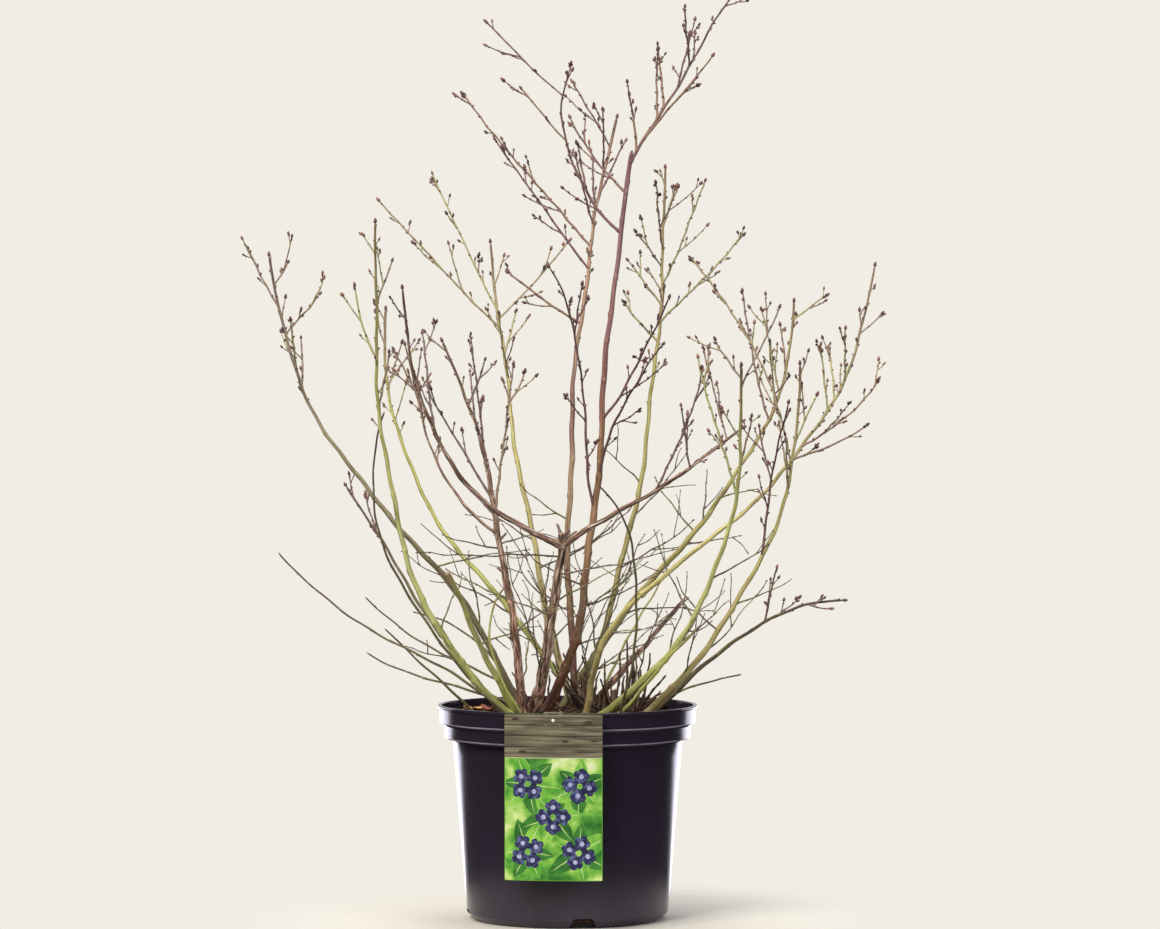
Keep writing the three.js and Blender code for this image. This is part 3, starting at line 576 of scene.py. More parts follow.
def tube_faces(rings, sides):
    """Faces of a tube whose points run ring by ring, then the foot's pole and the tip's pole."""
    faces = ring_faces(0, rings, sides)
    foot, tip = rings * sides, rings * sides + 1
    last = (rings - 1) * sides
    for k in range(sides):
        n = (k + 1) % sides
        faces.append((n, k, foot))
        faces.append((last + k, last + n, tip))
    return faces


def bar_faces(first, rows):
    """Faces of a four-sided bar whose points run row by row, with both its ends closed."""
    last = first + 4 * (rows - 1)
    ends = [tuple(range(first, first + 4)), tuple(range(last + 3, last - 1, -1))]
    return ring_faces(first, rows, 4) + ends


def turned(name, profile, facets, skin):
    """A closed round solid: the profile runs from the axis below, round the outside, to the axis above.
    skin gives the true radius and height of each of its points at a turn."""
    points, faces = [(0, 0, skin(0, *profile[0])[1])], []
    for radius, height in profile[1:-1]:
        for turn in np.linspace(0, 2 * math.pi, facets, endpoint=False):
            far, level = skin(turn, radius, height)
            points.append((*spun(far, 0, turn), level))
    points.append((0, 0, skin(0, *profile[-1])[1]))
    top, last = len(points) - 1, len(points) - 1 - facets
    for k in range(facets):
        n = (k + 1) % facets
        faces.append((0, 1 + n, 1 + k))
        faces.append((top, last + k, last + n))
    return mesh_object(name, points, faces + ring_faces(1, len(profile) - 2, facets))


def spun(x, y, angle, place=(0, 0)):
    """A flat point turned about the origin by an angle in radians, then moved to a place."""
    return (place[0] + x * math.cos(angle) - y * math.sin(angle),
            place[1] + x * math.sin(angle) + y * math.cos(angle))


def mend_normals(obj):
    """Turns every face outwards."""
    shape = bmesh.new()
    shape.from_mesh(obj.data)
    bmesh.ops.recalc_face_normals(shape, faces=shape.faces)
    shape.to_mesh(obj.data)
    shape.free()


# ---------------------------------------------------------------- node trees

SPRAY_GROUPS = 3  # how many plain colours a kind of twig or bud is dealt out in
SPRAY_SOCKETS = [(f"Finish {k}", "Material", None) for k in range(SPRAY_GROUPS)]


def add(tree, kind, values=None, links=None, stops=(), **settings):
    """Adds one node: settings are its own properties, values fill its sockets, and links feed them, each
    from a socket or from the first output of a node. stops: place and hex value along a colour ramp."""
    node = tree.nodes.new(kind)
    for key, value in settings.items():
        setattr(node, key, value)
    if stops:
        elements = node.color_ramp.elements
        while len(elements) < len(stops):
            elements.new(0.5)
        for element, (place, code) in zip(elements, stops):
            element.position, element.color = place, srgb(code)
    for key, value in (values or {}).items():
        node.inputs[key].default_value = value
    for key, source in (links or {}).items():
        tree.links.new(getattr(source, "outputs", [source])[0], node.inputs[key])
    return node


def srgb(code):
    """An sRGB hex value as a linear colour."""
    parts = [int(code[i:i + 2], 16) / 255 for i in (1, 3, 5)]
    return (*[c / 12.92 if c <= 0.04045 else ((c + 0.055) / 1.055) ** 2.4 for c in parts], 1.0)


def new_tree(name, sockets):
    """A geometry tree with its group input and output. sockets: name, kind and default of each input."""
    tree = bpy.data.node_groups.new(name, "GeometryNodeTree")
    tree.interface.new_socket("Geometry", in_out="INPUT", socket_type="NodeSocketGeometry")
    for title, kind, default in sockets:
        socket = tree.interface.new_socket(title, in_out="INPUT", socket_type="NodeSocket" + kind)
        if default is not None:
            socket.default_value = default
    tree.interface.new_socket("Geometry", in_out="OUTPUT", socket_type="NodeSocketGeometry")
    return tree, add(tree, "NodeGroupInput").outputs


def close_tree(tree, geometry, finishes):
    """Ends a tree: instances made real, shaded smooth, and one finish for each spray number."""
    real = add(tree, "GeometryNodeRealizeInstances", links={"Geometry": geometry})
    last = add(tree, "GeometryNodeSetShadeSmooth", links={"Geometry": real})
    spray = add(tree, "GeometryNodeInputNamedAttribute", {"Name": "spray"}, data_type="INT")
    for number in range(SPRAY_GROUPS):
        mine = add(tree, "FunctionNodeCompare", {3: number}, {2: spray}, data_type="INT", operation="EQUAL")
        last = add(tree, "GeometryNodeSetMaterial", links={
            "Geometry": last, "Selection": mine, "Material": finishes[f"Finish {number}"]})
    add(tree, "NodeGroupOutput", links={"Geometry": last})
    return tree


def settled(obj):
    """Keeps what an object's modifiers make of it as its plain mesh."""
    view = bpy.context.evaluated_depsgraph_get()
    mesh = bpy.data.meshes.new_from_object(obj.evaluated_get(view))
    old = obj.data
    obj.modifiers.clear()
    obj.data = mesh
    bpy.data.meshes.remove(old)
    mesh.name = obj.name
    return mesh


def grown(obj, tree, inputs):
    """Runs a geometry tree on an object and keeps the result as its plain mesh."""
    modifier = obj.modifiers.new("growth", "NODES")
    modifier.node_group = tree
    for item in tree.interface.items_tree:
        if item.item_type == "SOCKET" and item.in_out == "INPUT" and item.name in inputs:
            modifier[item.identifier] = inputs[item.name]
    mesh = settled(obj)
    for name in ("spray", "heading", "stretch", "thickness"):
        if name in mesh.attributes:
            mesh.attributes.remove(mesh.attributes[name])
    return obj


def by_spray(finishes):
    """The inputs of a spray's tree: one finish for each spray number."""
    return {f"Finish {k}": finish for k, finish in enumerate(finishes)}


def twig_tree():
    """Round twigs along the edges of a mesh, as thick as their points say."""
    tree, given = new_tree("twigs along lines", [("Sides", "Int", 6), *SPRAY_SOCKETS])
    thick = add(tree, "GeometryNodeInputNamedAttribute", {"Name": "thickness"}, data_type="FLOAT")
    line = add(tree, "GeometryNodeMeshToCurve", links={"Mesh": given["Geometry"]})
    ring = add(tree, "GeometryNodeCurvePrimitiveCircle", {"Radius": 1.0}, {"Resolution": given["Sides"]})
    tube = add(tree, "GeometryNodeCurveToMesh", {"Fill Caps": True},
               {"Curve": line, "Profile Curve": ring, "Scale": thick})
    return close_tree(tree, tube, given)


def bud_tree():
    """A pointed bud on every point, along its heading."""
    tree, given = new_tree("buds on points", [
        ("Sides", "Int", 6), ("Rings", "Int", 5), ("Taper", "Float", 0.42), *SPRAY_SOCKETS])
    ball = add(tree, "GeometryNodeMeshUVSphere", {"Radius": 1.0},
               {"Segments": given["Sides"], "Rings": given["Rings"]})
    split = add(tree, "ShaderNodeSeparateXYZ", links={"Vector": add(tree, "GeometryNodeInputPosition")})
    x, y, z = split.outputs
    drawn_in = add(tree, "ShaderNodeMath", links={0: z, 1: given["Taper"]}, operation="MULTIPLY")
    full = add(tree, "ShaderNodeMath", {0: 1.0}, {1: drawn_in}, operation="SUBTRACT")
    narrow_x, narrow_y = (
        add(tree, "ShaderNodeMath", links={0: side, 1: full}, operation="MULTIPLY") for side in (x, y))
    upward = add(tree, "ShaderNodeMath", {1: 1.0}, {0: z}, operation="ADD")
    half = add(tree, "ShaderNodeMath", {1: 0.5}, {0: upward}, operation="MULTIPLY")
    place = add(tree, "ShaderNodeCombineXYZ", links={"X": narrow_x, "Y": narrow_y, "Z": half})
    bud = add(tree, "GeometryNodeSetPosition", links={"Geometry": ball, "Position": place})
    points = add(tree, "GeometryNodeMeshToPoints", links={"Mesh": given["Geometry"]})
    way, size = (add(tree, "GeometryNodeInputNamedAttribute", {"Name": name}, data_type="FLOAT_VECTOR")
                 for name in ("heading", "stretch"))
    turn = add(tree, "FunctionNodeAlignRotationToVector", links={"Vector": way}, axis="Z")
    buds = add(tree, "GeometryNodeInstanceOnPoints", links={
        "Points": points, "Instance": bud, "Rotation": turn, "Scale": size})
    return close_tree(tree, buds, given)


LITTER_SLOPE = 0.6  # litter lies where the surface's normal points up more than this
LITTER_TURN = 6.28  # radians, all round


def litter_tree():
    """Chips and crumbs strewn over the upward faces of a surface, inside a circle."""
    tree, given = new_tree("litter on a surface", [
        ("Density", "Float", 9000.0), ("Seed", "Int", 1), ("Reach", "Float", 0.112),
        ("Smallest", "Vector", (0.001, 0.001, 0.001)), ("Largest", "Vector", (0.004, 0.002, 0.001)),
        ("Tilt", "Float", 0.5), ("Finish 0", "Material", None)])
    split = add(tree, "ShaderNodeSeparateXYZ", links={"Vector": add(tree, "GeometryNodeInputNormal")})
    facing = add(tree, "FunctionNodeCompare", {1: LITTER_SLOPE}, {0: split.outputs["Z"]},
                 data_type="FLOAT", operation="GREATER_THAN")
    flat = add(tree, "ShaderNodeVectorMath", {1: (1, 1, 0)}, {0: add(tree, "GeometryNodeInputPosition")},
               operation="MULTIPLY")
    far = add(tree, "ShaderNodeVectorMath", links={0: flat}, operation="LENGTH").outputs["Value"]
    within = add(tree, "FunctionNodeCompare", links={0: far, 1: given["Reach"]},
                 data_type="FLOAT", operation="LESS_THAN")
    both = add(tree, "FunctionNodeBooleanMath", links={0: facing, 1: within}, operation="AND")
    points = add(tree, "GeometryNodeDistributePointsOnFaces", links={
        "Mesh": given["Geometry"], "Selection": both, "Density": given["Density"], "Seed": given["Seed"]})
    chip = add(tree, "GeometryNodeMeshIcoSphere", {"Radius": 1.0, "Subdivisions": 1})
    low = add(tree, "ShaderNodeMath", {0: -1.0}, {1: given["Tilt"]}, operation="MULTIPLY")
    lowest = add(tree, "ShaderNodeCombineXYZ", links={"X": low, "Y": low})
    highest = add(tree, "ShaderNodeCombineXYZ", {"Z": LITTER_TURN}, {"X": given["Tilt"], "Y": given["Tilt"]})
    size, turn = (
        add(tree, "FunctionNodeRandomValue", links={"Min": least, "Max": most, "Seed": given["Seed"]},
            data_type="FLOAT_VECTOR")
        for least, most in ((given["Smallest"], given["Largest"]), (lowest, highest)))
    chips = add(tree, "GeometryNodeInstanceOnPoints", links={
        "Points": points, "Instance": chip, "Rotation": turn, "Scale": size})
    real = add(tree, "GeometryNodeRealizeInstances", links={"Geometry": chips})
    done = add(tree, "GeometryNodeSetMaterial", links={"Geometry": real, "Material": given["Finish 0"]})
    add(tree, "NodeGroupOutput", links={"Geometry": done})
    return tree


# ---------------------------------------------------------------- materials

def new_finish(name, **sockets):
    """A material with one shader, whose even values stand on the shader's own sockets."""
    material = bpy.data.materials.new(name)
    material.use_nodes = True
    tree = material.node_tree
    shader = tree.nodes["Principled BSDF"]
    for key, value in sockets.items():
        shader.inputs[key.replace("_", " ")].default_value = value
    return material, tree, shader


def give_relief(tree, shader, height, distance):
    """Fine relief from a height pattern, distance millimetres deep."""
    bump = add(tree, "ShaderNodeBump", {"Distance": distance * MM}, {"Height": height})
    tree.links.new(bump.outputs["Normal"], shader.inputs["Normal"])


def blotches(tree, vector, size, detail=3, stretch=(1, 1, 1)):
    """Noise whose patches are about size millimetres wide, on coordinates in millimetres."""
    spot = add(tree, "ShaderNodeMapping", {"Scale": tuple(1 / (size * s) for s in stretch)},
               {"Vector": vector})
    return add(tree, "ShaderNodeTexNoise", {"Scale": 1.0, "Detail": detail}, {"Vector": spot}).outputs["Fac"]


def object_mm(tree):
    """The piece's own coordinates in millimetres."""
    spot = add(tree, "ShaderNodeTexCoord")
    return add(tree, "ShaderNodeMapping", {"Scale": (1 / MM,) * 3},
               {"Vector": spot.outputs["Object"]}).outputs["Vector"]


def plain_finish(name, code, size, detail, depth, **sockets):
    """One even colour over fine relief: its patches are size millimetres wide and depth deep."""
    material, tree, shader = new_finish(name, Base_Color=srgb(code), **sockets)
    give_relief(tree, shader, blotches(tree, object_mm(tree), size, detail), depth)
    return material


def patchy_finish(name, stops, patches, relief=None, **sockets):
    """Colours in patches over fine relief. patches and relief: size in millimetres, detail and stretch,
    and for the relief its depth first."""
    material, tree, shader = new_finish(name, **sockets)
    spot = object_mm(tree)
    skin = add(tree, "ShaderNodeValToRGB", links={"Fac": blotches(tree, spot, *patches)}, stops=stops)
    tree.links.new(skin.outputs["Color"], shader.inputs["Base Color"])
    if relief:
        give_relief(tree, shader, blotches(tree, spot, *relief[1:]), relief[0])
    return material


def bark_finish(name, ramp, flush, flush_share, streak, speck, roughness, relief, crevice="#857D78",
                ridged=False):
    """Bark along a limb: colours from foot to tip, a flush of a second colour in long patches, fine
    lengthwise streaks, and small corky specks. Sizes in millimetres. Ridged bark is dark in its furrows."""
    material, tree, shader = new_finish(name, Roughness=roughness, IOR=1.45, Specular_IOR_Level=0.4)
    on_bark = add(tree, "ShaderNodeAttribute", attribute_name="bark").outputs["Vector"]
    along = add(tree, "ShaderNodeAttribute", attribute_name="along").outputs["Fac"]
    patch = blotches(tree, on_bark, 9, 4, (1, 1, 5))
    shift = add(tree, "ShaderNodeMath", {1: 0.3, 2: -0.15}, {0: patch}, operation="MULTIPLY_ADD")
    place = add(tree, "ShaderNodeMath", links={0: along, 1: shift}, operation="ADD")
    stain = add(tree, "ShaderNodeValToRGB", links={"Fac": blotches(tree, on_bark, 6, 5, (1, 1, 7))},
                stops=[(0.62 - flush_share, "#000000"), (0.78 - flush_share, "#FFFFFF")])
    plain = add(tree, "ShaderNodeValToRGB", links={"Fac": place}, stops=ramp)
    skin = add(tree, "ShaderNodeMix", {7: srgb(flush)}, {0: stain, 6: plain}, data_type="RGBA")
    fibres = blotches(tree, on_bark, streak, 4, (1, 1, 22))
    streaks = add(tree, "ShaderNodeValToRGB", links={"Fac": fibres},
                  stops=[(0.3, crevice), (0.62, "#FFFFFF")])
    shades = [(0.75, streaks)]
    if ridged:
        depth = add(tree, "ShaderNodeAttribute", attribute_name="ridge").outputs["Fac"]
        furrow = add(tree, "ShaderNodeValToRGB", links={"Fac": depth},
                     stops=[(0.22, "#452A20"), (0.5, "#B89E90"), (0.72, "#FFFFFF")])
        shades.append((0.85, furrow))
    for strength, shade in shades:
        skin = add(tree, "ShaderNodeMix", {0: strength}, {6: skin.outputs[2], 7: shade},
                   data_type="RGBA", blend_type="MULTIPLY")
    pits = add(tree, "ShaderNodeMapping", {"Scale": (1 / speck, 1 / speck, 0.45 / speck)},
               {"Vector": on_bark})
    cells = add(tree, "ShaderNodeTexVoronoi", {"Scale": 1.0}, {"Vector": pits})
    dots = add(tree, "ShaderNodeValToRGB", links={"Fac": cells},
               stops=[(0.12, "#FFFFFF"), (0.2, "#000000")])
    part = add(tree, "ShaderNodeMath", {1: 0.45}, {0: dots}, operation="MULTIPLY")
    dotted = add(tree, "ShaderNodeMix", {7: srgb("#C9B796")}, {0: part, 6: skin.outputs[2]},
                 data_type="RGBA")
    tree.links.new(dotted.outputs[2], shader.inputs["Base Color"])
    height = add(tree, "ShaderNodeMath", links={0: fibres, 1: part}, operation="ADD")
    give_relief(tree, shader, height, relief)
    return material


# Live young shoots of blueberry are thin smooth skin over green wood: satin, with fine lengthwise fibres
# and pale pores. Each ramp runs from the foot to the tip.
BARK = {
    # second-year wood: rust brown low down, tan above
    "brown": bark_finish(
        "bark_red_brown", [(0.0, "#664134"), (0.14, "#86604B"), (0.34, "#C0A67E"), (0.5, "#8B6960"),
                           (0.66, "#AF8D73"), (0.78, "#B6957A"), (0.9, "#A7886E"), (1.0, "#7A6052")],
        "#7A4F48", 0.05, 1.3, 4.6, 0.5, 0.25),
    # the tallest cane, plum where it is youngest
    "plum": bark_finish(
        "bark_plum", [(0.0, "#664134"), (0.14, "#865C43"), (0.34, "#A98866"), (0.5, "#A37C5D"),
                      (0.66, "#936767"), (0.84, "#987272"), (1.0, "#7A585C")],
        "#7A4F48", 0.05, 1.3, 4.6, 0.5, 0.25),
    # thin brown side shoots
    "shoot": bark_finish(
        "bark_side_shoot", [(0.0, "#92716B"), (0.7, "#886861"), (1.0, "#664D4B")],
        "#6E4E50", 0.06, 1.1, 3.6, 0.55, 0.15),
    # first-year shoots turned olive, browned by the sun at their tips
    "olive": bark_finish(
        "bark_olive", [(0.0, "#7D7348"), (0.3, "#A79D5E"), (0.6, "#B6AF69"), (0.85, "#AC9C67"),
                       (1.0, "#7F604F")],
        "#7F6344", 0.04, 1.2, 4.2, 0.48, 0.2),
    # a weathered olive cane, greyer than the others
    "dull_olive": bark_finish(
        "bark_dull_olive", [(0.0, "#736B51"), (0.3, "#857C5B"), (0.6, "#9D9272"), (0.85, "#9B8C7C"),
                            (1.0, "#735F53")],
        "#5F4E40", 0.06, 1.1, 4.0, 0.55, 0.2),
    # first-year shoots, bright green and a little brown at the tip
    "green": bark_finish(
        "bark_green", [(0.0, "#878B4C"), (0.25, "#B9BC6D"), (0.7, "#BBBA68"), (0.9, "#A49B64"),
                       (1.0, "#7C6050")],
        "#6B6C33", 0.04, 1.2, 4.4, 0.46, 0.18),
    # shoots with a pale bloom on the green
    "pale_green": bark_finish(
        "bark_pale_green", [(0.0, "#AAB162"), (0.2, "#D1D586"), (0.45, "#D3D38D"), (0.7, "#C1BE74"),
                            (0.9, "#A39A63"), (1.0, "#7C6050")],
        "#8E9058", 0.05, 1.2, 4.4, 0.46, 0.18),
    # the palest shoots, tan low down and yellow towards the light
    "yellow_green": bark_finish(
        "bark_yellow_green", [(0.0, "#A89566"), (0.25, "#BFB177"), (0.55, "#C7BE7A"), (0.72, "#C9BF7E"),
                              (0.86, "#AA9C72"), (1.0, "#7E6858")],
        "#8F8646", 0.04, 1.2, 4.4, 0.46, 0.18),
    # old wood: pinkish-tan strips over a dark rust inner bark, fully matt
    "old": bark_finish(
        "bark_old_shredding", [(0.0, "#A37A67"), (0.3, "#D9AE98"), (0.62, "#CCB19F"), (1.0, "#A5907E")],
        "#E2CDBE", 0.12, 1.9, 6.0, 0.85, 0.9, "#4A3028", ridged=True),
    # thin weathered whips: dark olive grey, almost matt
    "whip": bark_finish(
        "bark_weathered_whip", [(0.0, "#625A3E"), (0.4, "#77704B"), (0.8, "#71604F"), (1.0, "#584741")],
        "#54463A", 0.06, 1.0, 3.6, 0.7, 0.2),
}
# limbs that are darker than their kind
WEATHERED = ("dark_left", "whip_far_left", "whip_back_left", "whip_low_left", "whip_lowest_left",
             "whip_left", "brown_low_right", "whip_right", "thin_left", "thin_front")
# limbs that wear another bark than the rest of their kind
WORN = {
    "centre": "plum", "outer_left": "dull_olive", "curved_right": "yellow_green",
    **dict.fromkeys(("green_far_left", "cut_left", "green_right"), "pale_green"),
    **dict.fromkeys(WEATHERED, "whip"),
}


def bark_of(limb):
    """The bark that a limb wears: its own, a thin side shoot's, or its kind's."""
    side_shoot = limb.bark == "brown" and limb.crown == 0
    return WORN.get(limb.name, "shoot" if side_shoot else limb.bark)


def plain_twigs(kind, *looks):
    """Wood too fine for a pattern, in plain colours with a fibre bump. looks: name, hex and, where the
    wood isn't satin, roughness."""
    finishes = []
    for name, code, *rough in looks:
        finishes.append(plain_finish(f"{kind}_{name}", code, 1.2, 2, 0.12, IOR=1.45, Specular_IOR_Level=0.35,
                                     Roughness=rough[0] if rough else 0.55))
    return finishes


# Each kind of cane carries twigs in three plain colours, dealt out by spray.
TWIG_FINISHES = {
    "brown": plain_twigs("twig", ("plum", "#7D5F5F"), ("wine", "#694E4F"), ("rust", "#866B59")),
    "olive": plain_twigs("twig", ("olive", "#9B946D"), ("moss", "#A49D70"), ("umber", "#8D7667")),
    "green": plain_twigs("twig", ("leek", "#A5A66E"), ("sage", "#98956C"), ("hazel", "#907C69")),
    "yellow_green": plain_twigs("twig", ("lime", "#A5A070"), ("straw", "#9D8E6E"), ("tan", "#957A6C")),
    "old": plain_twigs("twig", ("brown", "#84706A"), ("sepia", "#745F5A"), ("fawn", "#94806F")),
}
# Dead whips are bare grey wood, some with a film of green.
WHISKER_FINISHES = plain_twigs("whip", ("olive", "#79794F", 0.8), ("grey", "#796F62", 0.85),
                               ("dark", "#5C4D44", 0.8))
# Broken sticks in the compost are rotten and dark.
STICK_FINISHES = plain_twigs("stick", ("dark", "#46342B", 0.9), ("brown", "#5A4335", 0.9),
                             ("grey", "#6E5C4D", 0.9))
# Winter buds are tight waxy scales.
BUD_FINISHES = plain_twigs("bud", ("wine", "#6C4C4A", 0.42), ("rust", "#8A6658", 0.42),
                           ("dark", "#5A4240", 0.45))
# Pruned ends show pale dry wood; strips that have come loose are matt and furrowed lengthwise.
CUT_WOOD = plain_finish("pruned_wood", "#9A866C", 0.8, 3, 0.3, Roughness=0.8)
LOOSE_BARK = patchy_finish("loose_bark", [(0.3, "#5A4336"), (0.5, "#8F7763"), (0.7, "#B7A28D")],
                           (7, 3, (1, 1, 3)), (0.3, 1.1, 3, (1, 1, 12)),
                           Roughness=0.9, Specular_IOR_Level=0.25)


# ---------------------------------------------------------------- limbs with the bark's relief

RING_STEP = 2.2
LIMB_SIDES = ((4, 24), (2.5, 18), (0, 12))  # a limb thicker than so much at the root has so many sides
NODE_STEP = {"old": 46, "brown": 33, "olive": 29, "green": 27, "yellow_green": 28}
CROWN_NODE_STEP = 14
FORKED = ("centre", "curved_right")  # canes whose tip is hidden in a fork, so it shows no cut
SIDE_RADIUS = 2.2  # limbs thinner than this at the root are drawn slimmer still
SIDE_SLIM = 0.8
FLARE = dict(swell=0.32, start=3, reach=1.6)  # of a foot: share, start below the surface, reach in radii
COLLAR = dict(swell=0.42, reach=1.5)  # of a bough's root, measured from its carrier's skin
FINE_END = (5, 0.45)  # over how many millimetres a tip draws in, and to what share
FORK_END = (9, 0.4)
TIP_REACH = 0.8  # how far a pointed tip runs on past its last ring, in radii
CUT_REACH = 0.12
CUT_SLANT = 0.25
# Lengthwise waves of young bark: height, waves round the limb, millimetres along it to a radian
YOUNG_WAVES = ((0.022, 3, 47), (0.016, 5, -33), (0.03, 0, 26), (0.014, 2, 7))
# How high the strips, the fine strips and the lumps of old bark stand, and how far it all lies back
OLD_RELIEF = dict(strips=0.34, fine=0.24, lumps=0.16, back=0.3)
KNOT = dict(reach=0.55, least=1.2, ring=0.07, face=0.26)
RIDGE_SPAN = (-0.3, 0.4)  # how far old bark stands out in its furrows and on its ridges, in radii
BOUGH_AGE = 0.62  # where a bough's colours start on the way from foot to tip
PATTERN_SHIFT = 37  # sets limbs of other thickness apart in the bark's pattern
BUDLESS = dict(foot=30, fork=12)  # how far above a foot or a fork the first bud may sit
# Buds on a limb: least length, how much longer at most, and how far they lean away from the wood
YOUNG_BUD, OLD_BUD = (1.9, 1.2, 0.75), (1.2, 0.7, 0.5)


class Buds:
    """Points that carry a bud each: place, heading, width, length and spray number."""

    def __init__(self):
        self.rows = []

    def add(self, spot, way, length, width, spray):
        self.rows.append((*spot, *way, width / 2, width / 2, length, spray))

    def build(self, name, tree, finishes):
        rows = np.array(self.rows)
        obj = mesh_object(name, rows[:, :3], [])
        keep_attribute(obj.data, "heading", "FLOAT_VECTOR", rows[:, 3:6])
        keep_attribute(obj.data, "stretch", "FLOAT_VECTOR", rows[:, 6:9] * MM)
        keep_attribute(obj.data, "spray", "INT", rows[:, 9].astype(int))
        return grown(obj, tree, by_spray(finishes))


def piece_name(limb):
    """A limb's name in the frame. One that is all crown is a leader, and has no node of its own."""
    if limb.crown == 0:
        return "leader_" + limb.name
    return ("bough_" if limb.on else "cane_") + limb.name


def is_pruned(limb):
    """Whether a limb ends in a cut."""
    return limb.blunt and limb.name not in FORKED


def wood_nodes(run, step, draw):
    """Heights and turns of the knots along a limb, alternate by the golden angle."""
    knots = []
    place, turn = step * (0.5 + 0.5 * draw()), 360 * draw()
    while place < run:
        knots.append((place, math.radians(turn)))
        place += step * (0.7 + 0.6 * draw())
        turn += GOLDEN_ANGLE + 30 * (draw() - 0.5)
    return knots


def limb_knots(limb, length, draw):
    """The knots of a limb, closer together in its crown, and the length that it is bare of twigs."""
    bare = length * limb.crown
    knots = [knot for knot in wood_nodes(length, NODE_STEP[limb.bark], draw) if knot[0] < bare]
    if limb.crown < 1:
        knots += [(bare + place, turn) for place, turn in wood_nodes(length - bare, CROWN_NODE_STEP, draw)]
    return knots, bare


def limb_course(limb, shoot, carrier):
    """The rings of a limb: centres, tangents, two directions across, how far along, and radii."""
    shares, length = shoot.even_shares(RING_STEP)
    centres, tangents = shoot.at(shares), shoot.tangent(shares)
    run, radii, thick = np.linspace(0, length, len(shares)), shoot.thickness(shares), limb.radius[0]
    if thick < SIDE_RADIUS:
        radii = radii * SIDE_SLIM
    if limb.foot:
        below = np.arange(SUNK, 0, -RING_STEP)
        centres = np.vstack([centres[0] - tangents[0] * below[:, None], centres])
        tangents = np.vstack([np.repeat(tangents[:1], len(below), 0), tangents])
        run = np.concatenate([-below, run])
        radii = np.concatenate([np.full(len(below), radii[0]), radii])
        past = np.clip(run + FLARE["start"], 0, None) / (FLARE["reach"] * thick)
        radii = radii * (1 + FLARE["swell"] * np.exp(-past))
    else:
        hidden = float(carrier.thickness(limb.at))
        past = np.clip(run - hidden, 0, None) / (COLLAR["reach"] * thick)
        radii = radii * (1 + COLLAR["swell"] * np.exp(-(past ** 2)))
    if not is_pruned(limb):
        reach, least = FORK_END if limb.name in FORKED else FINE_END
        radii = radii * np.clip((length - run) / reach + least, least, 1)
    level = across(unit(centres[-1] - centres[0]))[0]
    side = unit(level - tangents * (tangents @ level)[:, None])
    return SimpleNamespace(centres=centres, tangents=tangents, side=side, other=np.cross(tangents, side),
                           run=run, radii=radii)


def relief(kind, run, turn, radius, knots, draw):
    """How much each point of a limb's skin stands out, as a share of its radius. run, turn: grids."""
    phases = [2 * math.pi * draw() for _ in range(8)]
    if kind == "old":
        wander = 0.8 * np.sin(run / 31 + phases[0]) + 0.5 * np.sin(run / 12 + phases[1])
        strips = np.abs(np.sin(2.5 * (turn + wander) + phases[2]))
        fine = np.abs(np.sin(5.5 * (turn + 0.6 * wander) + run / 19 + phases[3]))
        torn = 0.5 + 0.5 * np.sin(run / 9 + 3 * np.sin(turn + phases[4]))
        lumps = np.sin(run / 5.1 + 2 * np.sin(2 * turn + phases[5])) * np.sin(run / 13 + turn + phases[6])
        rib = OLD_RELIEF["strips"] * strips + OLD_RELIEF["fine"] * fine * torn
        rib = rib + OLD_RELIEF["lumps"] * lumps - OLD_RELIEF["back"]
    else:
        rib = sum(height * np.sin(waves * turn + run / stride + phase)
                  for (height, waves, stride), phase in zip(YOUNG_WAVES, phases))
    for place, side in knots:
        near = np.exp(-(((run - place) / (KNOT["reach"] * radius + KNOT["least"])) ** 2))
        face = np.clip(np.cos(turn - side), 0, 1) ** 2
        rib = rib + near * (KNOT["ring"] + KNOT["face"] * face)
    return rib


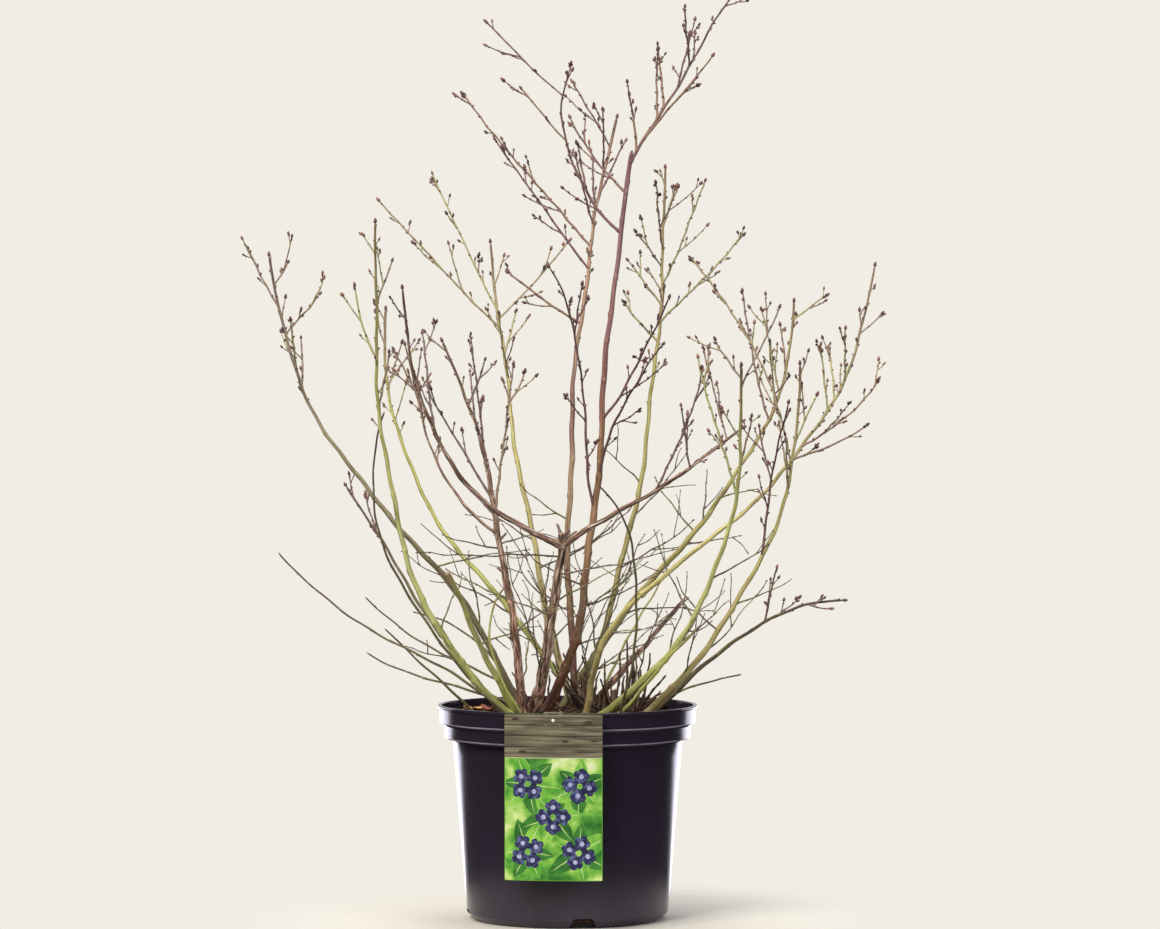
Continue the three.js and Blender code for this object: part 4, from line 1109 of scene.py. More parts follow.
def limb_mesh(limb, shoot, carrier, draw, buds):
    """One limb from its foot to its tip, with a foot flare or a collar, knots, bark relief and buds."""
    course, thick = limb_course(limb, shoot, carrier), limb.radius[0]
    run, radii, length = course.run, course.radii, course.run[-1]
    sides = next(count for least, count in LIMB_SIDES if thick > least)
    knots, bare = limb_knots(limb, length, draw)
    turns = np.linspace(0, 2 * math.pi, sides, endpoint=False)
    grid_run, grid_turn = np.meshgrid(run, turns, indexing="ij")
    cosine, sine = np.cos(grid_turn), np.sin(grid_turn)
    rib = relief(limb.bark, grid_run, grid_turn, radii[:, None], knots, draw)
    skin = radii[:, None] * (1 + rib)
    away = cosine[..., None] * course.side[:, None] + sine[..., None] * course.other[:, None]
    points = course.centres[:, None] + skin[..., None] * away
    end = course.tangents[-1] * radii[-1]
    if limb.blunt:
        points[-1] -= course.tangents[-1] * CUT_SLANT * radii[-1] * np.cos(turns)[:, None]
    tip = course.centres[-1] + end * (CUT_REACH if limb.blunt else TIP_REACH)
    obj = mesh_object("barked_" + piece_name(limb), [*points.reshape(-1, 3), course.centres[0], tip],
                      tube_faces(len(run), sides))

    on_bark = np.stack([skin * cosine, skin * sine, grid_run], -1).reshape(-1, 3)
    on_bark = np.vstack([on_bark, [[0, 0, run[0]], [0, 0, run[-1]]]]) + PATTERN_SHIFT * thick
    keep_attribute(obj.data, "bark", "FLOAT_VECTOR", on_bark)
    if limb.bark == "old":
        ridge = np.interp(rib, RIDGE_SPAN, (0, 1)).ravel()
        keep_attribute(obj.data, "ridge", "FLOAT", [*ridge, 0.5, 0.5])
    share = np.clip(run / length, 0, 1)
    if limb.on:
        share = lerp(BOUGH_AGE, 1, share)
    elif limb.name == "curved_right":
        share = share * BOUGH_AGE  # its colours run on into the bough in its fork
    keep_attribute(obj.data, "along", "FLOAT", [*np.repeat(share, sides), 0, 1])
    add_limb_buds(buds, course, knots, bare, BUDLESS["foot" if limb.foot else "fork"], draw)
    return obj


def add_limb_buds(buds, course, knots, bare, budless, draw):
    """A bud at each knot above the budless stretch, longer among the twigs than on the bare wood."""
    for place, turn in knots:
        i = int(np.searchsorted(course.run, place))
        if place < budless or i >= len(course.run):
            continue
        least, more, lean = YOUNG_BUD if place > bare else OLD_BUD
        away = between(course.side[i], course.other[i], turn)
        length = least + more * draw()
        spot, way = course.centres[i] + away * course.radii[i] * 0.85, course.tangents[i] * 0.9 + away * lean
        buds.add(spot, unit(way), length, length * 0.6, int(SPRAY_GROUPS * draw()))


def show_cut(obj):
    """The pruned end of a limb shows pale wood: its tip's faces follow the foot's in turn."""
    for polygon in obj.data.polygons:
        if len(polygon.vertices) == 3 and polygon.index % 2 == 1:
            polygon.material_index = 1
            polygon.use_smooth = False


# ---------------------------------------------------------------- twigs and buds

# pitch: millimetres between nodes. bud: shortest and longest side bud. tip_bud: length of the last one.
# slim: how much of its room the wood fills. swell: how much thicker it is at a node.
WOOD = {
    "arms": dict(pitch=12.5, sides=8, bud=(2.1, 3.5), tip_bud=5.6, slim=0.8),
    "twigs": dict(pitch=11, sides=6, bud=(2.0, 3.3), tip_bud=5.2, slim=0.78),
    "spurs": dict(pitch=8, sides=5, bud=(1.7, 2.7), tip_bud=4.3, slim=0.85),
    "whiskers": dict(pitch=13, sides=5, bud=(1.2, 2.0), tip_bud=2.2),
    "hairs": dict(pitch=12, sides=4, bud=(1.0, 1.8), tip_bud=2.0),
    "snags": dict(pitch=5, sides=7),
    "sticks": dict(pitch=9, sides=6, swell=0.35),
}
NODE_SWELL = 0.18
LEADER_BUD = (5.8, 3.3)  # length and width
NODE_STEPS = 3  # steps of a twig's line from node to node
ZIGZAG = dict(share=0.055, most=0.5)  # how far a twig kinks, as a share of its pitch and in millimetres
ROOT_SWELL, TIP_THIN = 1.35, 0.75
TWIN_CHANCE = 0.35  # of a smaller bud on each side of a last one
# Buds: swing round the twig, start from its axis in radii, lean away from it, width as a share of length
SIDE_BUD, TWIN_BUD = (0.5, 0.6, 0.75, 0.6), (0.4, 0.7, 0.7, 0.55)
TIP_BUD = dict(sunk=0.12, plump=0.56)


class Twigs:
    """Lines of one kind of wood that become round twigs, some with buds."""

    def __init__(self, kind, buds=None):
        self.wood, self.buds = WOOD[kind], buds
        self.points, self.edges, self.thick, self.spray = [], [], [], []

    def add(self, shoot, draw):
        """A twig, kinked and swollen at its nodes, with a bud at each if its wood bears them."""
        spray, pitch = int(SPRAY_GROUPS * draw()), self.wood["pitch"]
        shares = shoot.even_shares(pitch / NODE_STEPS)[0]
        spots, ways = shoot.at(shares), shoot.tangent(shares)
        radii = shoot.thickness(shares) * self.wood.get("slim", 1.0)
        side, other = across(unit(spots[-1] - spots[0]))
        zig = between(side, other, 2 * math.pi * draw())
        steps = np.arange(len(shares))
        node, past = steps // NODE_STEPS, steps % NODE_STEPS
        wave = (-1.0) ** node * (1 - 2 * past / NODE_STEPS) * np.minimum(1, steps / NODE_STEPS)
        spots = spots + zig * wave[:, None] * min(ZIGZAG["most"], ZIGZAG["share"] * pitch)
        radii = radii * np.where(past == 0, 1 + self.wood.get("swell", NODE_SWELL), 1.0)
        radii[0] = radii[0] * ROOT_SWELL
        radii[-1] = radii[-1] * TIP_THIN
        first = len(self.points)
        self.points += list(spots)
        self.thick += list(radii)
        self.spray += [spray] * len(spots)
        self.edges += [(first + k, first + k + 1) for k in range(len(spots) - 1)]
        if self.buds:
            self.bear_buds(spots, ways, radii, zig, (spray + int(2 * draw())) % SPRAY_GROUPS, draw)

    def bear_buds(self, spots, ways, radii, zig, spray, draw):
        """Buds on alternate sides of the zigzag, and one at the tip, at times between two smaller ones."""
        swing, out, lean, plump = SIDE_BUD
        for k in range(NODE_STEPS, len(spots) - 1, NODE_STEPS):
            flip = 1 if (k // NODE_STEPS) % 2 else -1
            away = unit(zig * flip + swing * np.cross(ways[k], zig) * (draw() - 0.5))
            length = lerp(*self.wood["bud"], draw())
            spot, way = spots[k] + away * radii[k] * out, unit(ways[k] + lean * away)
            self.buds.add(spot, way, length, length * plump, spray)
        tip, way = spots[-1], ways[-1]
        length = self.wood["tip_bud"] * (0.85 + 0.3 * draw())
        self.buds.add(tip - way * TIP_BUD["sunk"] * length, way, length, length * TIP_BUD["plump"], spray)
        swing, out, lean, plump = TWIN_BUD
        for flip in (1, -1):
            if draw() < TWIN_CHANCE:
                away = unit(zig * flip + swing * np.cross(way, zig) * (draw() - 0.5))
                small = length * (0.7 + 0.2 * draw())
                spot = tip - way * (0.35 + 0.35 * draw()) * length + away * radii[-1] * out
                self.buds.add(spot, unit(way + lean * away), small, small * plump, spray)

    def build(self, name, tree, finishes):
        obj = mesh_object(name, self.points, [])
        mesh = obj.data
        mesh.edges.add(len(self.edges))
        mesh.edges.foreach_set("vertices", np.array(self.edges).ravel())
        keep_attribute(mesh, "thickness", "FLOAT", np.array(self.thick) * MM)
        keep_attribute(mesh, "spray", "INT", self.spray)
        return grown(obj, tree, {"Sides": self.wood["sides"], **by_spray(finishes)})


def build_limbs(shoots, buds):
    """Every limb under its bark."""
    for k, limb in enumerate(LIMBS):
        draw = seeded(SEEDS["limbs"] + 10 * k)
        obj = limb_mesh(limb, shoots[limb.name], shoots.get(limb.on), draw, buds)
        nodes = [] if limb.crown == 0 else [piece_name(limb)]
        pruned = [CUT_WOOD] if is_pruned(limb) else []
        put(obj, [BARK[bark_of(limb)], *pruned], "bark_" + limb.bark, *nodes)
        if pruned:
            show_cut(obj)


def build_crowns(crowns, twigs_tree, buds_tree):
    """The arms, twigs, spurs and buds of each kind of cane."""
    rows = {limb.name: limb for limb in LIMBS}
    for kind, finishes in TWIG_FINISHES.items():
        mine, buds = [name for name in crowns if rows[name].bark == kind], Buds()
        wood = {part: Twigs(part, buds) for part in ("arms", "twigs", "spurs")}
        for name in mine:
            crown, draw = crowns[name], seeded(rows[name].seed + SEEDS["buds"])
            tip, way = crown["leader"].at(1), crown["leader"].tangent(1)
            buds.add(tip - way * 0.5, way, *LEADER_BUD, 0)
            for part, twigs in wood.items():
                for shoot in crown[part]:
                    twigs.add(shoot, draw)
        nodes = ["twigs_" + name for name in mine]
        for part, twigs in wood.items():
            put(twigs.build(f"{part}_of_{kind}_canes", twigs_tree, finishes), None, "twigs", *nodes)
        put(buds.build(f"buds_of_{kind}_canes", buds_tree, BUD_FINISHES), None, "twigs", *nodes)


def build_dead_wood(growths, twigs_tree, buds):
    """Dead whips, hairs and snags, and the sticks that stand in the compost."""
    draw = seeded(SEEDS["dead"])
    wood = dict(whiskers=Twigs("whiskers", buds), hairs=Twigs("hairs", buds), snags=Twigs("snags"),
                sticks=Twigs("sticks"))
    for growth in [*growths, dict(sticks=grow_sticks())]:
        for part, shoots in growth.items():
            for shoot in shoots:
                wood[part].add(shoot, draw)
    for part, name, finishes in (
            ("sticks", "broken_sticks", STICK_FINISHES),
            ("snags", "snags_of_old_canes", TWIG_FINISHES["old"]),
            ("whiskers", "dead_whips", WHISKER_FINISHES), ("hairs", "dead_hairs", WHISKER_FINISHES)):
        put(wood[part].build(name, twigs_tree, finishes), None, "twigs")


def build_plant():
    shoots = plant_shoots()
    crowns, room = grow_plant(shoots)
    growths = grow_dead_wood(shoots, room)
    twigs_tree, buds_tree, buds = twig_tree(), bud_tree(), Buds()
    build_limbs(shoots, buds)
    build_crowns(crowns, twigs_tree, buds_tree)
    build_dead_wood(growths, twigs_tree, buds)
    put(buds.build("buds_of_limbs", buds_tree, BUD_FINISHES), None, "twigs")
    return shoots


# ---------------------------------------------------------------- loose bark

LOOSE_STRIPS = (("old", 60, 801), ("shaggy", 52, 811), ("dead_right", 22, 821))  # limb, how many, seed
STRIP_ROWS = 7
STRIP_THICKNESS = 0.45
STRIP_BED = 0.3  # how deep a strip lies in the bark's relief
STRIP_TAPER = 0.55


def bark_strip(shoot, draw):
    """The points of one strip, four to a row: one of its ends lies on the wood, the other stands off."""
    low, length = 0.02 + 0.55 * draw(), 14 + 34 * draw()
    turn, width = 2 * math.pi * draw(), 1.1 + 1.9 * draw()
    lift, upward, points = 0.5 + 1.8 * draw() ** 2, draw() < 0.5, []
    for k in range(STRIP_ROWS):
        share = min(0.98, low + length / shoot.span * k / (STRIP_ROWS - 1))
        spot, way, radius = shoot.at(share), shoot.tangent(share), float(shoot.thickness(share))
        side, other = across(way)
        out = between(side, other, turn + 0.25 * math.sin(k + 5 * draw()))
        free = k / (STRIP_ROWS - 1) if upward else 1 - k / (STRIP_ROWS - 1)
        stand = radius * 1.03 + lift * free ** 2
        edge = np.cross(way, out) * (width / 2 * (1 - STRIP_TAPER * free))
        for sign, high in ((-1, 0), (1, 0), (1, STRIP_THICKNESS), (-1, STRIP_THICKNESS)):
            points.append(spot + out * (stand + high - STRIP_BED) + edge * sign)
    return points


def build_loose_bark(shoots):
    """Long strips of old bark that have come loose at one end, on the shredding canes."""
    points, faces = [], []
    for name, count, seed in LOOSE_STRIPS:
        draw = seeded(seed)
        for _ in range(count):
            faces += bar_faces(len(points), STRIP_ROWS)
            points += bark_strip(shoots[name], draw)
    obj = mesh_object("loose_bark_strips", points, faces, smooth=False)
    mend_normals(obj)
    put(obj, LOOSE_BARK, "bark_old")


# ---------------------------------------------------------------- pot

CORNER = 0.9  # radius of the pot's moulded corners
LONGEST_STRETCH = 14  # of the profile, so that the wall can wave
WAVY = (12, 208)
SHARP_ANGLE = 34
NOTCH_CORNER = 2.5
FLOOR_SHEEN_SPAN = (130, 10)  # heights between which the painted reflection of the floor comes on


def rounded(profile, radius, steps=4):
    """A profile whose inner corners are turned into small arcs."""
    points = [np.array(spot, float) for spot in profile]
    result = [points[0]]
    for before, corner, after in zip(points, points[1:], points[2:]):
        back, on = before - corner, after - corner
        cut = min(radius, 0.42 * np.linalg.norm(back), 0.42 * np.linalg.norm(on))
        start, end = corner + unit(back) * cut, corner + unit(on) * cut
        for k in range(steps + 1):
            t = k / steps
            result.append(start * (1 - t) ** 2 + 2 * corner * t * (1 - t) + end * t ** 2)
    return result + [points[-1]]


def pot_outside():
    upper_foot = POT_HEIGHT - LIP_DEPTH - UPPER_BAND["depth"]
    lower_top = upper_foot - BAND_STEP
    lower_foot = lower_top - LOWER_BAND["depth"]
    return [
        (BODY_FOOT_RADIUS - FOOT_CORNER, 0), (BODY_FOOT_RADIUS, FOOT_CORNER),
        (BODY_TOP_RADIUS, lower_foot - BAND_STEP),
        (LOWER_BAND["radius"] - LOWER_BAND["taper"], lower_foot), (LOWER_BAND["radius"], lower_top),
        (UPPER_BAND["radius"] - UPPER_BAND["taper"], upper_foot),
        (UPPER_BAND["radius"], POT_HEIGHT - LIP_DEPTH), (LIP_RADIUS, POT_HEIGHT - LIP_DEPTH),
        (LIP_RADIUS, POT_HEIGHT),
    ]


def pot_inside():
    _, corner, body_top, lower_foot, lower_top, upper_foot = pot_outside()[:6]
    inner = [(radius - WALL, height) for radius, height in
             (upper_foot, lower_top, lower_foot, body_top, corner)]
    return [(UPPER_BAND["radius"] - WALL, POT_HEIGHT), *inner, (BODY_FOOT_RADIUS - FOOT_CORNER, POT_FLOOR)]


def finer(profile, longest):
    """A profile whose long straight stretches are split."""
    result = [profile[0]]
    for start, end in zip(profile, profile[1:]):
        count = max(1, math.ceil(np.linalg.norm(end - start) / longest))
        result += [start + (end - start) * k / count for k in range(1, count + 1)]
    return result


def pot_skin(turn, radius, height):
    """The thin wall isn't quite round: between its foot and its lip it waves by a few tenths."""
    if WAVY[0] < height < WAVY[1]:
        wave = 0.16 * math.sin(3 * turn + height / 60) + 0.1 * math.sin(7 * turn - height / 38 + 1)
        return radius + wave, height
    return radius, height


def painted_rim_highlights(tree, height, cloud):
    """How strong the painted highlight is: on a thin rim at the foot of each band, and nowhere else."""
    rims = []
    for corner in (5, 3):
        foot = pot_outside()[corner][1]
        rim = add(tree, "ShaderNodeMath", {1: foot + RIM_HIGHLIGHT / 2, 2: RIM_HIGHLIGHT}, {0: height},
                  operation="COMPARE")
        rims.append(rim.outputs["Value"])
    both = add(tree, "ShaderNodeMath", links=dict(enumerate(rims)), operation="ADD")
    patchy = add(tree, "ShaderNodeMapRange",
                 {"From Min": 0.3, "From Max": 0.6, "To Min": 0.45, "To Max": 0.9}, {"Value": cloud})
    return add(tree, "ShaderNodeMath", links={0: both.outputs["Value"], 1: patchy.outputs["Result"]},
               operation="MULTIPLY").outputs["Value"]


def pot_finish():
    # Thin black polypropylene, moulded smooth: a dark blue-black skin with a soft gloss, fine rub marks
    # that run round the pot, a painted highlight on a thin rim at the foot of each band, and a painted
    # reflection of the floor, paler and in patches, low down
    material, tree, shader = new_finish("moulded_black_polypropylene", IOR=1.49, Specular_IOR_Level=0.42)
    spot = object_mm(tree)
    rub, cloud = blotches(tree, spot, 0.9, 4, (9, 9, 1)), blotches(tree, spot, 34, 4)
    rough = add(tree, "ShaderNodeMath", {1: 0.08, 2: 0.1}, {0: cloud}, operation="MULTIPLY_ADD")
    tree.links.new(rough.outputs["Value"], shader.inputs["Roughness"])
    height = add(tree, "ShaderNodeSeparateXYZ", links={"Vector": spot}).outputs["Z"]
    # paler towards the foot, in patches: a painted reflection of the floor
    low = add(tree, "ShaderNodeMapRange", {"From Min": FLOOR_SHEEN_SPAN[0], "From Max": FLOOR_SHEEN_SPAN[1]},
              {"Value": height})
    floor_sheen = add(tree, "ShaderNodeMath", links={0: low.outputs["Result"], 1: cloud}, operation="MULTIPLY")
    colour = add(tree, "ShaderNodeValToRGB", links={"Fac": floor_sheen},
                 stops=[(0.0, "#28212E"), (0.35, "#2D2634"), (0.75, "#3A3342")])
    # the pale lavender on each band's foot rim is a painted highlight, where the edge would catch the light
    highlit = add(tree, "ShaderNodeMix", {7: srgb("#9C94A8")}, {0: painted_rim_highlights(tree, height, cloud), 6: colour},
               data_type="RGBA")
    tree.links.new(highlit.outputs[2], shader.inputs["Base Color"])
    give_relief(tree, shader, rub, 0.015)
    return material


def build_pot():
    outside = rounded([(0, 0), *pot_outside(), *pot_inside(), (0, POT_FLOOR)], CORNER)
    obj = turned("nursery_pot", finer(outside, LONGEST_STRETCH), POT_FACETS, pot_skin)
    cutters = [notch(NOTCH["turn"] + 360 / NOTCH["count"] * k) for k in range(NOTCH["count"])]
    for cutter in cutters:
        cut = obj.modifiers.new("notch", "BOOLEAN")
        cut.operation, cut.solver, cut.object = "DIFFERENCE", "EXACT", cutter
    mesh = settled(obj)
    for cutter in cutters:
        bpy.data.objects.remove(cutter)
    mesh.shade_smooth()
    mesh.set_sharp_from_angle(angle=math.radians(SHARP_ANGLE))
    put(obj, pot_finish(), "pot_plastic", "pot")


def notch(turn):
    """A drain notch's cutter, with rounded upper corners, reaching in from the pot's foot."""
    half_top, half_foot, high = NOTCH["top"] / 2, NOTCH["foot"] / 2, NOTCH["height"]
    shape = rounded([(half_foot, -1), (half_top, high), (-half_top, high), (-half_foot, -1)], NOTCH_CORNER)
    count, points = len(shape), []
    for depth in (BODY_FOOT_RADIUS - NOTCH["reach"], BODY_FOOT_RADIUS + NOTCH["reach"]):
        points += [(*spun(depth, x, math.radians(turn)), z) for x, z in shape]
    faces = [tuple(range(count)), tuple(range(2 * count - 1, count - 1, -1))]
    faces += [(k, k + count, (k + 1) % count + count, (k + 1) % count) for k in range(count)]
    obj = mesh_object("notch_cutter", points, faces)
    mend_normals(obj)
    obj.hide_render = True
    return obj


# ---------------------------------------------------------------- compost and what lies on it

SOIL_SLOPE_WIDTH = 18  # over which the surface falls to its edge
MOUND = dict(height=4.5, reach=62, left=4)
LUMPS = ((1.6, 14), (1.1, 5.5), (0.6, 2.6))  # height and size of coarse, middling and fine lumps
SOIL_FACETS, SOIL_RINGS = 150, 62
LITTER_REACH = 114


def soil_top(radius, turn):
    """The height of the compost's surface: a low mound round the canes, lumpy, lower along the wall."""
    x, y = radius * math.cos(turn), radius * math.sin(turn)
    out = max(0, radius - SOIL_FLAT_RADIUS) / SOIL_SLOPE_WIDTH
    mound = MOUND["height"] * math.exp(-((x + MOUND["left"]) ** 2 + y ** 2) / MOUND["reach"] ** 2)
    lumps = sum(height * noise.noise(Vector((x, y, 0)) / size) for height, size in LUMPS)
    return lerp(SOIL_LEVEL, SOIL_EDGE_LEVEL, out) + mound + lumps


def soil_skin(turn, radius, height):
    """Where the profile gives no height, the surface does."""
    return radius, soil_top(radius, turn) if height is None else height


def build_compost():
    wall = [(radius - SOIL_SIDE_GAP, height + CLEARANCE) for radius, height in pot_inside()[::-1]
            if height < SOIL_EDGE_LEVEL]
    edge = UPPER_BAND["radius"] - UPPER_BAND["taper"] - WALL - SOIL_SIDE_GAP
    surface = [(edge * (1 - k / SOIL_RINGS), None) for k in range(SOIL_RINGS + 1)]
    obj = turned("potting_compost", [(0, POT_FLOOR + CLEARANCE), *wall, *surface], SOIL_FACETS, soil_skin)
    # Damp peat compost: near black crumbs with brown fibres, no shine
    peat = patchy_finish("damp_peat", [
        (0.3, "#1D1512"), (0.5, "#35261E"), (0.66, "#4A3528"), (0.8, "#6A4D38")],
        (4, 6), (1.2, 1.6, 5), Roughness=0.95, Specular_IOR_Level=0.2)
    return put(obj, peat, "compost", "compost")


# name, hex, per square metre, seed, smallest and largest half sizes in millimetres, tilt in radians
LITTER = [
    ("peat_crumbs", "#2C201A", 90000, 3, (0.7, 0.6, 0.5), (2.1, 1.6, 1.3), 1.5),
    ("peat_clods", "#3A2A20", 14000, 5, (1.6, 1.4, 1.0), (3.8, 3.0, 2.2), 1.0),
    ("bark_chips", "#6E4836", 9000, 8, (2.5, 1.2, 0.5), (7.5, 3.0, 1.2), 0.4),
    ("pale_chips", "#A9845C", 4200, 11, (2.0, 0.8, 0.4), (6.0, 2.0, 0.9), 0.45),
    ("pink_bits", "#A8655C", 2200, 17, (1.6, 0.8, 0.4), (4.0, 1.8, 0.8), 0.5),
    ("straws", "#B59A6A", 900, 23, (6.0, 0.4, 0.35), (14.0, 0.7, 0.55), 0.25),
]


def build_litter(compost):
    tree = litter_tree()
    for name, code, density, seed, smallest, largest, tilt in LITTER:
        obj = link(bpy.data.objects.new("litter_" + name, compost.data.copy()))
        obj.data.materials.clear()
        grown(obj, tree, {
            "Density": float(density), "Seed": seed, "Reach": LITTER_REACH * MM, "Tilt": tilt,
            "Smallest": [size * MM for size in smallest], "Largest": [size * MM for size in largest],
            "Finish 0": plain_finish("litter_" + name, code, 1.5, 3, 0.4, Roughness=0.85,
                                     Specular_IOR_Level=0.25),
        })
        put(obj, None, "compost")


LEAF_ROWS, LEAF_COLUMNS = 13, 7
LEAF_THICKNESS = 0.35
LEAF_LIFT = 1.2  # how far a leaf's middle lies above the compost
# name, place, length, width, turn, curl, hex
FALLEN_LEAVES = [
    ("leaf_ochre", (-93, 4), 24, 13, 24, 5.0, "#C09452"),
    ("leaf_rust", (-78, -14), 21, 11, -40, 6.0, "#94523E"),
    ("leaf_tan", (-99, -22), 22, 12, 80, 5.5, "#B48E60"),
    ("leaf_brown", (74, -34), 24, 12, 160, 5.0, "#74503A"),
    ("leaf_pale", (20, 92), 26, 13, 10, 4.0, "#B59468"),
    ("leaf_dark", (96, 30), 22, 12, 110, 4.5, "#5A3C2C"),
    ("leaf_straw", (-60, 40), 22, 10, 60, 5.0, "#B99A66"),
]


def dry_leaf(name, place, length, width, turn, curl, code):
    """A fallen leaf on the compost: a thin closed blade, cupped and curled up at its ends."""
    base, top = soil_top(math.hypot(*place), math.atan2(place[1], place[0])) + LEAF_LIFT, []
    for i in range(LEAF_ROWS):
        u = i / (LEAF_ROWS - 1)
        half = width / 2 * (math.sin(math.pi * u ** 0.8) ** 0.8 + 0.03)
        for j in range(LEAF_COLUMNS):
            v = 2 * j / (LEAF_COLUMNS - 1) - 1
            x, y = spun((u - 0.5) * length, v * half, math.radians(turn), place)
            z = curl * (2 * u - 1) ** 2 + 0.35 * abs(v) * half + 0.5 * math.sin(9 * u + 2 * v)
            top.append((x, y, base + z))
    points = top + [(x, y, z - LEAF_THICKNESS) for x, y, z in top]
    count, wide, faces = len(top), LEAF_COLUMNS, []
    for i in range(LEAF_ROWS - 1):
        for j in range(wide - 1):
            a = i * wide + j
            faces.append((a, a + wide, a + wide + 1, a + 1))
            faces.append((count + a, count + a + 1, count + a + wide + 1, count + a + wide))
    rim = [*range(wide), *range(2 * wide - 1, count, wide)]
    rim += [*range(count - 2, count - wide - 1, -1), *range(count - 2 * wide, 0, -wide)]
    for a, b in zip(rim, rim[1:] + rim[:1]):
        faces.append((a, b, count + b, count + a))
    obj = mesh_object(name, points, faces)
    mend_normals(obj)
    put(obj, plain_finish(name, code, 2.2, 3, 0.3, Roughness=0.7), "compost")


# ---------------------------------------------------------------- label

CARD_FRONT = LIP_RADIUS + CLEARANCE + LABEL["thickness"]
CARD_TOP = POT_HEIGHT
CARD_FOOT = POT_HEIGHT - LABEL["height"]
HEADER_FOOT = 171.5
CARD_HALF = LABEL["bow"] * math.asin(LABEL["width"] / 2 / LABEL["bow"])
CARD_STEP = 5  # width of the strips that a printed shape is cut into, so that it follows the bow
PICTURE_EDGE = 1.2  # how far the pattern keeps from the card's edges
PLANKS = dict(count=4, gap=0.9, under_top=0.2)
KNOTS = ((-37, 208.5, 2.0), (34, 205, 2.4), (-30, 176.5, 2.2), (12, 187, 1.9), (40, 187.5, 1.8))
DIE = ((0, 2), (-25, 34), (26, 32), (-25, -32), (25, -33))  # its five spots, from the picture's middle
SPRAY_LEAVES = dict(count=6, length=(24, 38), width=0.5, rib=0.94, rib_width=1.0)
BLOSSOMS = dict(count=4, out=9.5, radius=8.2, eye=2.4)


def on_card(u, height, proud):
    """A point of the bowed card: u along its width, proud of its front face."""
    angle, reach = u / LABEL["bow"], LABEL["bow"] + proud
    x, y = math.sin(angle) * reach, LABEL["bow"] - CARD_FRONT - math.cos(angle) * reach
    return *spun(x, y, math.radians(LABEL["turn"])), height


def card_shape(shape, outline, low, high):
    """Adds a flat outline to a bmesh as a thin closed layer that follows the card."""
    fresh = bmesh.new()
    face = fresh.faces.new([fresh.verts.new((u, 0, v)) for u, v in outline])
    bmesh.ops.triangulate(fresh, faces=[face])
    left, right = min(u for u, _ in outline), max(u for u, _ in outline)
    for u in range(math.ceil(left / CARD_STEP) * CARD_STEP, math.ceil(right), CARD_STEP):
        bmesh.ops.bisect_plane(fresh, geom=fresh.verts[:] + fresh.edges[:] + fresh.faces[:],
                               plane_co=(u, 0, 0), plane_no=(1, 0, 0))
    made = bmesh.ops.extrude_face_region(fresh, geom=fresh.faces[:], use_keep_orig=True)
    moved = {v for v in made["geom"] if isinstance(v, bmesh.types.BMVert)}
    for vert in fresh.verts:
        u, _, v = vert.co
        vert.co = Vector(on_card(u, v, high if vert in moved else low))
    bmesh.ops.recalc_face_normals(fresh, faces=fresh.faces)
    table = [shape.verts.new(vert.co) for vert in fresh.verts]
    fresh.verts.index_update()
    for face in fresh.faces:
        shape.faces.new([table[vert.index] for vert in face.verts])
    fresh.free()


def card_piece(name, outlines, low, high, finish, *nodes):
    """A piece of the label from outlines, as one layer between two heights over the card's front."""
    shape = bmesh.new()
    for outline in outlines:
        card_shape(shape, outline, low, high)
    mesh = bpy.data.meshes.new(name)
    bmesh.ops.scale(shape, vec=(MM, MM, MM), verts=shape.verts)
    shape.to_mesh(mesh)
    shape.free()
    put(link(bpy.data.objects.new(name, mesh)), finish, "label_card", *nodes)


def box_outline(left, foot, right, top, corner):
    """A rectangle with rounded corners."""
    points = []
    for x, y, start in ((right - corner, foot + corner, -90), (right - corner, top - corner, 0),
                        (left + corner, top - corner, 90), (left + corner, foot + corner, 180)):
        for k in range(6):
            points.append(spun(corner, 0, math.radians(start + 18 * k), (x, y)))
    return points


def card_box(side, foot, top, corner):
    """A rounded rectangle across the card, side millimetres in from its left and right edges."""
    return box_outline(side - CARD_HALF, foot, CARD_HALF - side, top, corner)


def leaf_outline(place, length, width, turn):
    """A pointed blueberry leaf from its stalk to its tip."""
    points = []
    for side in (1, -1):
        for k in range(9):
            t = k / 9 if side > 0 else 1 - k / 9
            half = side * width / 2 * math.sin(math.pi * t ** 0.85) ** 0.9
            points.append(spun(t * length, half, math.radians(turn), place))
    return points


def blossom_outline(place, radius, turn, petals=5, depth=0.3):
    """A round flower; depth is how deep the clefts between its petals are cut, as a share of its radius."""
    points = []
    for k in range(petals * 10):
        angle = 2 * math.pi * k / (petals * 10)
        reach = radius * (1 - depth + depth * abs(math.cos(petals * angle / 2)) ** 0.7)
        points.append(spun(reach, 0, angle + turn, place))
    return points


def inside_card(outline):
    """Keeps an outline inside the picture's edges."""
    edge, foot, top = CARD_HALF - PICTURE_EDGE, CARD_FOOT + PICTURE_EDGE, HEADER_FOOT - 1.0
    kept = [(min(max(u, -edge), edge), min(max(v, foot), top)) for u, v in outline]
    return [spot for k, spot in enumerate(kept) if math.dist(spot, kept[k - 1]) > 0.05]


def print_finish(name, size, stops, roughness=0.42, stretch=(1, 1, 1)):
    """Ink on a smooth plastic card: satin, with soft patches of close colours."""
    return patchy_finish(name, stops, (size, 4, stretch), Roughness=roughness, IOR=1.5,
                         Specular_IOR_Level=0.35)


def build_label():
    card = print_finish("polypropylene_card", 30, [(0.3, "#5E9A38"), (0.7, "#6FA33F")])
    card_piece("label_card", [card_box(0, CARD_FOOT, CARD_TOP, 1.2)], -LABEL["thickness"], 0, card, "label")
    build_header()
    build_picture()


